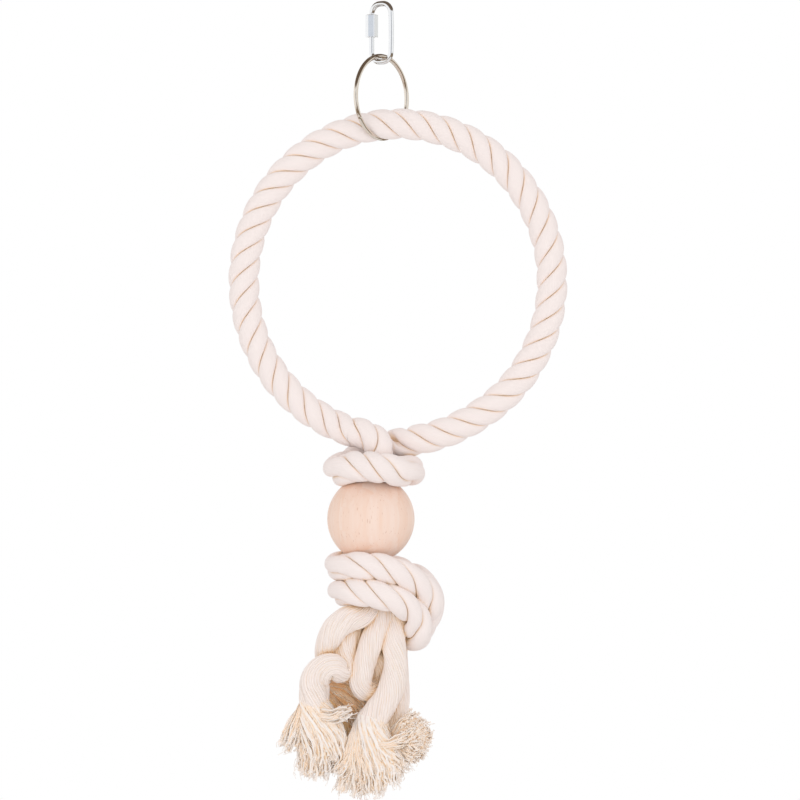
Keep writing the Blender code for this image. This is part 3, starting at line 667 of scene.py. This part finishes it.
# The shaded and groove colours are painted shade: darker cotton between the yarns and warm tan in the
# grooves.
rope_cotton = cotton_material("laid cotton", bump=0.35, looks={
    "Light Cotton": (0.975, 0.885, 0.86),
    "Shaded Cotton": (0.955, 0.85, 0.805),
    "Groove Shade Cotton": (0.93, 0.79, 0.66),
    "Yarn Pitch": 0.95,
    "Groove Edge": 18.0,
    "Broken": 0.0,
})

NECK = 0.697
LEFT_END = [
    (5.4, -5.6, -357, 0.56), (4.2, -6.2, -350.5, 0.66), (1.9, -6.42, -344.17, NECK),
    (-3.5, -6.42, -334.45, NECK), (-6.2, -6.42, -322.96, NECK), (-6.2, -6.42, -315.76, NECK),
    (-6.2, -6.42, -286.96, NECK), (-6.2, -6.42, -279.76, NECK), (-4.6, -6.57, -273.06, 0.76),
    (-2.2, -7.38, -266.73, 0.9), (-1.2, -8.19, -261.6, 0.98), (-3.9, -7.56, -255.4, 1),
    (-9.6, -5.22, -251.7, 1), (-16.6, -2.43, -250.2, 1),
]
RING_MIDDLE = (9.7, -161.62)
RING_HALF = (90.6, 92.6)
RING_TURNS = [math.radians(degrees) for degrees in range(248, -61, -14)]
RING = [
    (RING_MIDDLE[0] + RING_HALF[0] * math.cos(turn), 0.0, RING_MIDDLE[1] + RING_HALF[1] * math.sin(turn), 1.0)
    for turn in RING_TURNS
]
RIGHT_END = [
    (34.7, 1, -251.4, 1), (17.92, 3.96, -255.5, 1), (9.64, 7.2, -257.1, 1),
]
COLLAR = [
    (2.08, 9.72, -258.3, 0.98), (-3.77, 10.71, -260.3, 0.97), (-11.51, 11.16, -264.2, 0.97),
    (-19.43, 8.46, -269.6, 1), (-24.6, -0.92, -272.2, 1.08), (-19.97, -15.02, -271, 1.04),
    (-10.97, -21.95, -270, 1), (0.01, -23.1, -271, 1), (10.45, -18.02, -272.8, 1.02),
    (16.2, -6.01, -273.15, 1.05),
]
BORED_END = [
    (15.4, 6.01, -272.7, 0.95), (8.47, 12.47, -272.52, 0.86), (1.45, 12.94, -272.52, 0.78),
    (-4.04, 9.24, -274.14, 0.71), (-6.2, 6.42, -279.31, NECK), (-6.2, 6.42, -286.96, NECK),
    (-6.2, 6.42, -315.76, NECK), (-6.2, 6.42, -322.96, NECK), (-3.5, 6.42, -334.45, NECK),
    (1.9, 6.42, -344.17, NECK), (4.2, 6.2, -350.5, 0.66), (5.4, 5.6, -357, 0.56),
]


def in_metres(stations):
    return [(x * MM, y * MM, z * MM, scale) for x, y, z, scale in stations]


def winding(route, lay, stops):
    """How far the strands have turned at each point of a route: once in each lay, and exact at the stops.

    A stop is a place in millimetres, the direction that a groove or else the middle of a strand faces there,
    which of the two it is, and how much of the usual turn the rope makes on the way to it. A short turn is
    made next to the groove, and the strands run straight for the rest of the way.
    """
    runs, turns = [], []
    third = FULL_TURN / 3
    was_groove = False
    for place, towards, is_groove, pace in stops:
        near = int(np.argmin(np.linalg.norm(route["point"] - np.array(place) * MM, axis=1)))
        heading, cross = route["heading"][near], route["cross"][near]
        facing = math.atan2(float(np.dot(towards, np.cross(heading, cross))), float(np.dot(towards, cross)))
        turn = facing - (third / 2 if is_groove else 0.0)
        run = float(route["run"][near])
        if runs:
            usual = turns[-1] + FULL_TURN * pace * (run - runs[-1]) / lay
            turn += third * round((usual - turn) / third)
            needed = abs(turn - turns[-1]) * lay / FULL_TURN
            if pace < 1 and is_groove != was_groove and needed < run - runs[-1]:
                runs.append(run - needed if is_groove else runs[-1] + needed)
                turns.append(turns[-1] if is_groove else turn)
        runs.append(run)
        turns.append(turn)
        was_groove = is_groove
    beyond, ease = 1.0, 3 * MM
    runs = [runs[0] - beyond] + runs + [runs[-1] + beyond]
    turns = [turns[0] - FULL_TURN * beyond / lay] + turns + [turns[-1] + FULL_TURN * beyond / lay]
    return sum(np.interp(route["run"] + shift, runs, turns) for shift in (-ease, 0.0, ease)) / 3


def pressed(route, places, reach, depth):
    """How much deeper the grooves are at each point of a route: by the full depth at the places given."""
    total = np.zeros(len(route["run"]))
    for place in places:
        away = np.linalg.norm(route["point"] - np.array(place) * MM, axis=1) / reach
        total = np.maximum(total, depth * np.exp(-(away**2)))
    return total


def nearest_run(route, run):
    """The length along a route at the point that is nearest to a given length."""
    return float(route["run"][np.argmin(np.abs(route["run"] - run))])


def tucked(route, start, stop):
    """A stretch of a route whose first end runs on a little, inside the stretch before it."""
    run_on, slimmer = 2.4 * MM, 0.975
    stretch = part_of(route, start - run_on, stop)
    stretch["scale"][:2] *= slimmer
    return stretch


# The middle of a strand faces up where the hanging ring's wire crosses, so the wire lies in a groove below.
# The rest of the lay follows from the grooves that face the front at both ends of the ring and on the collar.
ROPE_RADIUS = 9.1 * MM
LAY_LENGTH = 39.4 * MM
ROPE_STEP = 1.2 * MM
BEND_REACH, GAPE_REACH = 13 * MM, 5.5 * MM
FRONT, UP, RIGHT = ((0, -1, 0), (0, 0, 1), (1, 0, 0))
GROOVE, STRAND_MIDDLE = True, False
COLLAR_LEFT, COLLAR_RIGHT = (-24.6, -0.92, -272.2), (16.2, -6.01, -273.15)
rope = along(in_metres(LEFT_END + RING + RIGHT_END + COLLAR + BORED_END), ROPE_STEP)
rope["wind"] = winding(rope, LAY_LENGTH, [
    ((-11.2, -4.6, -251.3), FRONT, GROOVE, 1.0),
    ((0.0, 0.0, -77.55), UP, STRAND_MIDDLE, 1.0),
    ((25.7, 2.5, -253.3), FRONT, GROOVE, 1.0),
    (COLLAR_LEFT, (-1, 0, 0.2), STRAND_MIDDLE, 1.0),
    ((-12.6, -21.0, -269.8), FRONT, GROOVE, 0.35),
    ((-4.0, -22.9, -270.2), FRONT, GROOVE, 1.0),
    ((6.2, -20.8, -271.9), FRONT, GROOVE, 1.0),
    (COLLAR_RIGHT, RIGHT, STRAND_MIDDLE, 0.35),
])
rope["deep"] = pressed(rope, [COLLAR_LEFT, COLLAR_RIGHT], BEND_REACH, depth=0.3)
rope["gape"] = pressed(rope, [(7.0, 8.2, -257.6)], GAPE_REACH, depth=0.85)
counts = np.cumsum([len(LEFT_END), len(RING) + len(RIGHT_END), len(COLLAR)])
laid_from, laid_to, collar_to = [nearest_run(rope, rope["marks"][count - 1]) for count in counts]
ring_part = part_of(rope, laid_from, laid_to)
for number in range(3):
    sizes = {"rope_radius": ROPE_RADIUS, "turn": FULL_TURN * number / 3, "strands": 1}
    strand = grow(f"rope_strand_{number + 1}", LAID, ring_part, rope_cotton, **sizes)
    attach(strand, "rope")
    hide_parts(f"ring_strand_{number + 1}")
for name, start, stop in (
    ("left_rope_end", 0.0, laid_from),
    ("rope_collar", laid_to, collar_to),
    ("right_rope_end", collar_to, rope["run"][-1]),
):
    length = grow(name + "_laid", LAID, tucked(rope, start, stop), rope_cotton, rope_radius=ROPE_RADIUS)
    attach(length, "rope")
    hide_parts(name)


# The knot. The same rope, its lay drawn out longer, goes twice round both ends under the ball. A loop on the
# right climbs from below into the upper turn, and the lower turn is pressed up in front of it.
KNOT_RADIUS = 8.5 * MM
UPPER_LAY = 50.0 * MM
LOWER_LAY = 46.0 * MM
UPPER = [
    (13.69, 8.08, -369.6, 1), (20.5, 8.55, -368, 1), (26.9, 9.47, -360, 1), (28.9, 10.39, -349.4, 1),
    (23.6, 13.86, -339.8, 1), (12.88, 19.87, -333.6, 1), (-0.98, 22.64, -330.76, 1),
    (-14.93, 17.56, -329.77, 1), (-23.93, 6.93, -329.05, 1), (-25.3, -3, -329.05, 1),
    (-20.42, -15.02, -328.6, 1), (-10.97, -21.95, -328.2, 1), (-0.98, -23.1, -329, 1),
    (8.92, -21.95, -331.8, 1), (19.63, -16.4, -337.69, 1), (27.1, -8.78, -346.15, 1),
    (28.45, -6.47, -349.57, 1), (28, -2.5, -353.4, 0.95), (24, 3.2, -355.8, 0.88), (18, 8.5, -355.2, 0.85),
]
LOWER = [
    (18, 8.5, -355.2, 0.85), (12.6, 15, -352.8, 0.95), (4.96, 19.87, -350.02, 1), (-6.02, 20.79, -347.95, 1),
    (-16.91, 14.55, -345.9, 1), (-22.94, 3, -344.2, 1), (-21.95, -9.5, -343.4, 1), (-14.48, -20.4, -343.2, 1),
    (-4.04, -25.2, -344.2, 1), (6.94, -24.2, -347.4, 1), (15.8, -19.4, -352.6, 1), (20.8, -13.9, -360, 1),
    (21.34, -9.9, -366.6, 1), (20.6, -4.2, -370.4, 1), (17.6, 2.4, -371.2, 0.95), (14.5, 7, -370.2, 0.9),
]
LOOP_STATIONS = 6
UPPER_LEFT, LOWER_LEFT, LOWER_RIGHT = (-25.3, -3.0, -329.05), (-22.94, 3.0, -344.2), (20.8, -13.9, -360.0)
climb = along(in_metres(UPPER), ROPE_STEP)
climb["wind"] = winding(climb, UPPER_LAY, [
    ((26.9, 9.47, -360.0), (0.8, -0.6, 0), STRAND_MIDDLE, 1.0),
    ((23.6, 13.86, -339.8), (0.6, -0.4, 0.7), STRAND_MIDDLE, 0.0),
    (UPPER_LEFT, (-1, 0, 0.35), STRAND_MIDDLE, 1.0),
    ((-10.2, -22.1, -328.3), FRONT, GROOVE, 0.38),
    ((1.85, -23.0, -329.8), FRONT, GROOVE, 1.0),
    ((17.0, -18.0, -336.2), FRONT, GROOVE, 1.0),
])
climb["deep"] = pressed(climb, [UPPER_LEFT], BEND_REACH, depth=0.2)
wrap = along(in_metres(LOWER), ROPE_STEP)
wrap["wind"] = winding(wrap, LOWER_LAY, [
    (LOWER_LEFT, (-1, 0, 0.2), STRAND_MIDDLE, 1.0),
    ((-12.8, -21.4, -343.3), FRONT, GROOVE, 0.35),
    ((-2.65, -25.2, -344.6), FRONT, GROOVE, 1.0),
    ((12.2, -21.9, -350.3), FRONT, GROOVE, 1.0),
])
wrap["deep"] = pressed(wrap, [LOWER_LEFT, LOWER_RIGHT], BEND_REACH, depth=0.16)
parting = nearest_run(climb, climb["marks"][LOOP_STATIONS - 1])
for name, stretch in (
    ("knot_side_loop", part_of(climb, 0.0, parting)),
    ("knot_upper_turn", tucked(climb, parting, climb["run"][-1])),
    ("knot_lower_turn", wrap),
):
    length = grow(name + "_laid", LAID, stretch, rope_cotton, rope_radius=KNOT_RADIUS)
    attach(length, "rope")
    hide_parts(name)


# The ball. Beech turned between centres with its grain upright, bored through, its bore edges eased, sanded
# and given a clear matt finish. It rests on the knot, and both rope ends go down through it.
def closed_skin(rows, smooth):
    """A skin over rows of points. Each row comes round to its own start, and the last row joins the first."""
    shape = bmesh.new()
    rows = [[shape.verts.new(spot) for spot in row] for row in rows]
    for here, there in zip(rows, rows[1:] + rows[:1]):
        for spot in range(len(here)):
            after = (spot + 1) % len(here)
            shape.faces.new((here[spot], here[after], there[after], there[spot])).smooth = smooth
    bmesh.ops.remove_doubles(shape, verts=shape.verts, dist=1e-6)
    bmesh.ops.recalc_face_normals(shape, faces=shape.faces)
    return shape


def settle(shape, name, material):
    """A finished shape as an object of its own."""
    mesh = bpy.data.meshes.new(name)
    shape.to_mesh(mesh)
    shape.free()
    mesh.materials.append(material)
    return placed(name, mesh)


def beech_material():
    """Pale steamed beech: upright growth lines and bands, and short darker flecks."""
    material, tree, shader = start_material("matt beech")
    place = put(tree, "ShaderNodeTexCoord", output="Object")

    def grain(where, across, upright):
        return put(tree, "ShaderNodeMapping", {"Vector": where, "Scale": (across, across, upright)})

    pale_wood, growth_wood, fleck_wood = (0.965, 0.772, 0.676), (0.93, 0.674, 0.538), (0.70, 0.42, 0.30)
    line_share, band_share, fleck_share, fleck_edge = 0.7, 0.4, 0.5, (0.74, 0.82)
    lines = noise(grain(place, across=420.0, upright=9.0), detail=3.0)
    bent = place + noise(place, scale=40.0, detail=1.0) * (1.5 * MM)
    sockets = {"Vector": grain(bent, across=150.0, upright=0.0), "Scale": 1.0}
    bands = put(tree, "ShaderNodeTexVoronoi", sockets, "Color")
    flecks = ranged(noise(grain(place, across=1500.0, upright=260.0), detail=0.0), *fleck_edge)
    growth = ranged(lines * line_share + split(bands)[0] * band_share, 0.3, 0.85)
    wood = blended(growth, pale_wood, growth_wood)
    wood = blended(flecks * fleck_share, wood, fleck_wood)
    raised = bumped(lines, strength=0.12, distance=0.3 * MM)
    feed(shader, {"Base Color": wood, "Normal": raised, "Roughness": 0.5, "Specular IOR Level": 0.3})
    return material


BALL_PLACE = Vector((-6.2 * MM, 0.0, -301.359 * MM))
BALL_RADIUS = 25.65 * MM
BALL_HALF = 21.6 * MM
BALL_BORE = 13.0 * MM
BORE_EDGE = 0.7 * MM
BALL_STEPS, OUTLINE_STEPS, EDGE_STEPS = 96, 49, 5
QUARTER_TURN = math.pi / 2
pole = math.asin(BALL_HALF / BALL_RADIUS)
heights = np.linspace(pole, -pole, OUTLINE_STEPS)
outline = [(BALL_RADIUS * math.cos(turn), BALL_RADIUS * math.sin(turn)) for turn in heights]
for start, stop, side in ((0, QUARTER_TURN, -1), (QUARTER_TURN, 0, 1)):
    for turn in np.linspace(start, stop, EDGE_STEPS):
        wider, lower = BORE_EDGE * (1 - math.sin(turn)), BORE_EDGE * (1 - math.cos(turn))
        outline.append((BALL_BORE + wider, side * (BALL_HALF - lower)))
rows = []
for step in range(BALL_STEPS):
    turn = FULL_TURN * step / BALL_STEPS
    across = Vector((math.cos(turn), math.sin(turn), 0))
    rows.append([BALL_PLACE + across * reach + Vector((0, 0, rise)) for reach, rise in outline])
ball = settle(closed_skin(rows, smooth=True), "turned_ball", beech_material())
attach(ball, "ball")
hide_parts("wooden_ball")


# The quick link. Round steel wire bent to a long loop that stays open on one leg, with a screw thread on both
# sides of that gate, then bright zinc plated.
def wire_tree():
    """A round wire along a route, as thick at each point as the route says."""
    tree, given = start_tree("bent wire", {**ROUTE, "Sides": 32}, PIECE)
    end_tree(swept(routed(tree, given), circle(tree, given["Sides"]), stored(tree, "scale")), given)
    return tree


def plating_group():
    """Plated steel: a slow cloudiness, fine drawing scratches, and the small waviness of bent wire."""
    inputs = {"Place": "Vector", "Bright": "Color", "Dull": "Color"}
    outputs = {"Colour": "Color", "Roughness": "Float", "Height": "Float"}
    group, given = start_tree("plated steel", inputs, outputs, "ShaderNodeTree")
    cloud = noise(given["Place"], scale=350.0, detail=2.0)
    fine = noise(given["Place"], scale=2600.0, detail=1.0)
    fine_height = 0.15
    add(group, "NodeGroupOutput", {
        "Colour": blended(cloud, given["Bright"], given["Dull"]),
        "Roughness": ranged(fine, 0.0, 1.0, to_low=0.07, to_high=0.17),
        "Height": cloud + fine * fine_height,
    })
    return group


def plated_material(name, bright, dull):
    material, tree, shader = start_material(name)
    place = put(tree, "ShaderNodeTexCoord", output="Object")
    sockets = {"Place": place, "Bright": bright, "Dull": dull}
    plating = add(tree, "ShaderNodeGroup", sockets, node_tree=PLATING).outputs
    feed(shader, {
        "Base Color": Field(plating["Colour"]),
        "Roughness": Field(plating["Roughness"]),
        "Normal": bumped(Field(plating["Height"]), strength=0.1, distance=0.2 * MM),
        "Metallic": 1.0,
    })
    return material


def upright(direction, side, height, radius):
    """A station in metres, from millimetres on the upright plane along a direction."""
    return (direction[0] * side * MM, direction[1] * side * MM, height * MM, radius * MM)


WIRE = wire_tree()
PLATING = plating_group()
zinc = plated_material("bright zinc", (0.93, 0.94, 0.95), (0.84, 0.85, 0.87))
LINK_TURN = math.radians(-38)
LINK_SIDE = np.array((math.cos(LINK_TURN), math.sin(LINK_TURN), 0.0))
LEG_REACH, LINK_HIGH, LINK_LOW, LINK_CORNER, LINK_WIRE = 7.25, 1.6, -32.5, 6.0, 1.6
GATE_DROP, GATE_WIDTH = 1.7, 6.0
THREAD_PITCH, THREAD_DEPTH, THREAD_LENGTH = 0.7, 0.14, 4.6
LINK_STEP, LEG_PLAY = 0.18 * MM, 0.1
GATE_STEPS, LEG_STEPS, BEND_STEP = 9, 90, 5
corner_side = LEG_REACH - LINK_CORNER
corner_high, corner_low = LINK_HIGH - LINK_CORNER, LINK_LOW + LINK_CORNER
gate_top = corner_high - GATE_DROP
gate_foot = gate_top - GATE_WIDTH
loop = [(-LEG_REACH, height) for height in np.linspace(gate_top, corner_high, GATE_STEPS)[:-1]]
for side, height, start in (
    (-corner_side, corner_high, 180),
    (corner_side, corner_high, 90),
    (corner_side, corner_low, 0),
    (-corner_side, corner_low, -90),
):
    for degrees in range(start, start - 91, -BEND_STEP):
        turn = math.radians(degrees)
        loop.append((side + LINK_CORNER * math.cos(turn), height + LINK_CORNER * math.sin(turn)))
loop += [(-LEG_REACH, height) for height in np.linspace(corner_low, gate_foot, LEG_STEPS)[1:]]
stations = []
for side, height in loop:
    on_leg = side < LEG_PLAY - LEG_REACH
    threaded = on_leg and abs(height - (gate_top + gate_foot) / 2) < GATE_WIDTH / 2 + THREAD_LENGTH
    cut = THREAD_DEPTH * (0.5 + 0.5 * math.cos(FULL_TURN * height / THREAD_PITCH)) if threaded else 0.0
    stations.append(upright(LINK_SIDE, side, height, LINK_WIRE - cut))
link = grow("quick_link_wire", WIRE, along(stations, LINK_STEP), zinc)
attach(link, "link")
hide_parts("quick_link_body")


# The nut. A hexagon sleeve cut from steel bar, its ends turned to a cone, threaded inside and zinc plated.
# It runs on the thread of the link's open leg and closes the gate.
NUT_FLATS, NUT_LENGTH, NUT_BORE, NUT_DROP = 6.8, 13.2, 1.8, 0.2
NUT_TOP = corner_high - NUT_DROP
NUT_SIDES, SIDE_PARTS = 6, 13
CORNER_WEAR, BORE_MOUTH = 0.16, 0.3
NUT_CONE = [(0.0, 0.558), (0.22, 0.18), (0.6, 0.0)]
nut_place = LINK_SIDE * -LEG_REACH
half_side, half_flats = math.pi / NUT_SIDES, NUT_FLATS / 2
corner_reach = half_flats / math.cos(half_side)
hexagon = []
for face in range(NUT_SIDES):
    for part in np.linspace(-1, 1, SIDE_PARTS):
        lean = half_side * part
        reach = min(half_flats / math.cos(lean), corner_reach - CORNER_WEAR)
        hexagon.append((LINK_TURN + 2 * half_side * face + lean, reach))
levels = [(depth, corner_reach - cut) for depth, cut in NUT_CONE]
levels += [(NUT_LENGTH - depth, reach) for depth, reach in reversed(levels)]
bore = [(0.0, NUT_BORE + BORE_MOUTH), (BORE_MOUTH, NUT_BORE)]
levels += [(NUT_LENGTH - depth, reach) for depth, reach in bore] + bore[::-1]
rows = []
for depth, limit in levels:
    row = []
    for turn, reach in hexagon:
        out = min(reach, limit)
        spot = nut_place + (out * math.cos(turn), out * math.sin(turn), NUT_TOP - depth)
        row.append(Vector(spot) * MM)
    rows.append(row)
nut = settle(closed_skin(rows, smooth=False), "sleeve_nut", zinc)
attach(nut, "nut")
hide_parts("quick_link_nut")


# The hanging ring. Hard round steel wire coiled to one turn, cut, pressed shut to a butt seam and nickel
# plated. It hangs loose in the quick link, and the rope ring hangs loose on it.
nickel = plated_material("bright nickel", (0.84, 0.77, 0.70), (0.74, 0.66, 0.56))
RING_RADIUS, RING_WIRE, RING_TOP = 24.15, 1.35, -29.25
RING_SEAM, SEAM_GAP, SEAM_EASE = math.radians(211), 0.3, 0.86
RING_SIDE = np.array((0.6157, 0.7880, 0.0))
RING_STEP, RING_STATIONS = 0.7 * MM, 120
half_gap = SEAM_GAP / 2 / RING_RADIUS
stations = []
for turn in np.linspace(RING_SEAM + half_gap, RING_SEAM + FULL_TURN - half_gap, RING_STATIONS):
    height = RING_TOP - RING_RADIUS + RING_RADIUS * math.sin(turn)
    stations.append(upright(RING_SIDE, RING_RADIUS * math.cos(turn), height, RING_WIRE))
coiled = along(stations, RING_STEP)
coiled["scale"][[0, -1]] *= SEAM_EASE
hoop = grow("hanging_ring_wire", WIRE, coiled, nickel)
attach(hoop, "ring")
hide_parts("hanging_ring")


# The wire in the rope's heart. Hard drawn steel, left bright, which holds the rope to its circle. The three
# strands are laid round it, so the solid's own shape stays and only its looks are given here.
drawn = plated_material("drawn steel", (0.62, 0.61, 0.60), (0.5, 0.49, 0.48))
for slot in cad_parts["ring_core_wire"].material_slots:
    slot.material = drawn


# The nooks, and painted shade in them. Where ropes, strands and yarns press together, the cotton's colour is
# multiplied by a warm tint that stands in for the shade there. Each point of the cotton looks out twelve
# ways, and what it meets close by says how deep in among the pieces it lies.
def gather_tree(pieces):
    """Every piece of a collection as one mesh."""
    tree, _ = start_tree("all pieces", {}, PIECE)
    gathered = put(tree, "GeometryNodeCollectionInfo", {"Collection": pieces})
    add(tree, "NodeGroupOutput", {"Piece": put(tree, "GeometryNodeRealizeInstances", {"Geometry": gathered})})
    return tree


def nook_tree(around):
    """How much of the near surroundings of each point is filled, from 0 in the open to 1."""
    tree, given = start_tree("nooks", {**PIECE, "Reach": 0.012, "Lift": 0.0007}, PIECE)
    target = put(tree, "GeometryNodeObjectInfo", {"Object": around}, "Geometry")
    facing = put(tree, "GeometryNodeInputNormal")
    start = put(tree, "GeometryNodeInputPosition") + facing * given["Lift"]
    long, short = 0.8507, 0.5257
    edges = [(a, b) for a in (-short, short) for b in (-long, long)]
    ways = [way for a, b in edges for way in ((0, a, b), (a, b, 0), (b, 0, a))]
    filled = 0.0
    for way in ways:
        sockets = {"Target Geometry": target, "Source Position": start, "Ray Length": given["Reach"]}
        met = add(tree, "GeometryNodeRaycast", {**sockets, "Ray Direction": facing + way}).outputs
        near = 1 - Field(met["Hit Distance"]) / given["Reach"]
        filled = filled + Field(met["Is Hit"]) * near * (1 / len(ways))
    add(tree, "NodeGroupOutput", {"Piece": keep(given["Piece"], "nook", filled)})
    return tree


NOOKS = {
    rope_cotton.name: {"reach": 12 * MM, "shallow": 0.45, "deep": 1.1},
    strand_cotton.name: {"reach": 12 * MM, "shallow": 0.15, "deep": 1.05},
    yarn_cotton.name: {"reach": 5 * MM, "shallow": 0.55, "deep": 1.0},
}
cotton_pieces = {
    piece: nook
    for cotton, nook in NOOKS.items()
    for piece in bpy.data.objects
    if piece.type == "MESH" and cotton in piece.data.materials
}
together = bpy.data.collections.new("pressed together")
for piece in [*cotton_pieces, ball]:
    together.objects.link(piece)
blank = bpy.data.meshes.new("blank")
around = bench("around", blank, gather_tree(together))
nooks = nook_tree(around)
lookers = [bench("looker", piece.data, nooks, reach=nook["reach"]) for piece, nook in cotton_pieces.items()]
ready = bpy.context.evaluated_depsgraph_get()
for (piece, nook), looker in zip(cotton_pieces.items(), lookers):
    depths = np.empty(len(piece.data.vertices), dtype=np.float32)
    looker.evaluated_get(ready).data.attributes["nook"].data.foreach_get("value", depths)
    depths = np.clip((depths - nook["shallow"]) / (nook["deep"] - nook["shallow"]), 0, 1)
    piece.data.attributes.new("nook", "FLOAT", "POINT").data.foreach_set("value", depths)
for done in lookers + [around]:
    bpy.data.objects.remove(done)
bpy.data.collections.remove(together)
bpy.data.meshes.remove(blank)


# The light. A white studio with soft light from all round, three large lamps in front and a pale floor below.
# The plated wire mirrors a room of its own: darker behind the camera, above, and below to the right.
WHITE = (1.0, 1.0, 1.0)
scene = bpy.context.scene
scene.view_settings.view_transform = "Standard"
world = bpy.data.worlds.new("white studio")
scene.world = world
world.use_nodes = True
tree = world.node_tree
shade = tree.nodes["Background"]
feed(shade, {"Strength": 0.82, "Color": (1.0, 0.99, 0.985)})
path = {ray.name: Field(ray) for ray in tree.nodes.new("ShaderNodeLightPath").outputs}
across, away, up = split(put(tree, "ShaderNodeTexCoord", output="Generated"))
walls = {0: WHITE, 0.9: WHITE, 0.95: (0.72, 0.77, 0.84), 0.985: (0.45, 0.45, 0.46), 1: (0.30, 0.30, 0.30)}
room = ramp(away * -1.0, walls)
right_wall, ceiling, ground = ranged(across, 0.88, 0.96), ranged(up, 0.3, 0.45), ranged(up, -0.36, -0.52)
low_right = ranged(up, -0.12, -0.26) * ranged(across, -0.08, 0.02)
for amount, colour in (
    (right_wall, (0.80, 0.80, 0.78)),
    (ceiling, (0.14, 0.10, 0.07)),
    (low_right, (0.18, 0.125, 0.08)),
    (ground, (0.26, 0.19, 0.12)),
):
    room = blended(amount, room, colour)
room = blended(path["Is Glossy Ray"], WHITE, room)
white = put(tree, "ShaderNodeBackground", {"Color": room, "Strength": 1.0})
seen = calc("MAXIMUM", path["Is Camera Ray"], path["Is Transmission Ray"])
seen = calc("MAXIMUM", seen, path["Is Glossy Ray"])
mix = put(tree, "ShaderNodeMixShader", {0: seen, 1: Field(shade.outputs[0]), 2: white})
feed(tree.nodes["World Output"], {"Surface": mix})
LAMP_AIM = Vector((0.01, 0.0, -0.26))
for name, place, size, power in (
    ("left_lamp", (-0.75, -2.0, 0.15), 1.1, 3.0),
    ("right_lamp", (0.75, -2.0, 0.05), 1.1, 2.5),
    ("low_lamp", (0.0, -1.9, -0.5), 1.0, 3.0),
):
    lamp = bpy.data.lights.new(name, "AREA")
    lamp.shape = "DISK"
    lamp.size = size
    lamp.energy = power
    stand = placed(name, lamp)
    stand.location = place
    stand.rotation_euler = (LAMP_AIM - Vector(place)).to_track_quat("-Z", "Y").to_euler()
    stand.visible_glossy = False

FLOOR_Z = -0.56
FLOOR_REACH, FADE_FROM = 0.62, 0.1
pale, tree, shader = start_material("pale floor")
feed(shader, {"Base Color": (0.93, 0.93, 0.93), "Roughness": 0.9})
place = put(tree, "ShaderNodeTexCoord", output="Object")
flat = put(tree, "ShaderNodeVectorMath", {0: place, 1: (1.0, 1.0, 0.0)}, operation="MULTIPLY")
away = put(tree, "ShaderNodeVectorMath", {0: flat}, "Value", operation="LENGTH")
fade = ranged(away, FADE_FROM, FLOOR_REACH, interpolation_type="SMOOTHSTEP")
clear = fade * put(tree, "ShaderNodeLightPath", output="Is Camera Ray")
bright = put(tree, "ShaderNodeEmission", {"Color": WHITE, "Strength": 1.0})
mix = put(tree, "ShaderNodeMixShader", {0: clear, 1: Field(shader.outputs[0]), 2: bright})
feed(tree.nodes["Material Output"], {"Surface": mix})
disc = bmesh.new()
level = Matrix.Translation((0, 0, FLOOR_Z))
bmesh.ops.create_circle(disc, cap_ends=True, segments=96, radius=FLOOR_REACH, matrix=level)
floor = settle(disc, "floor", pale)
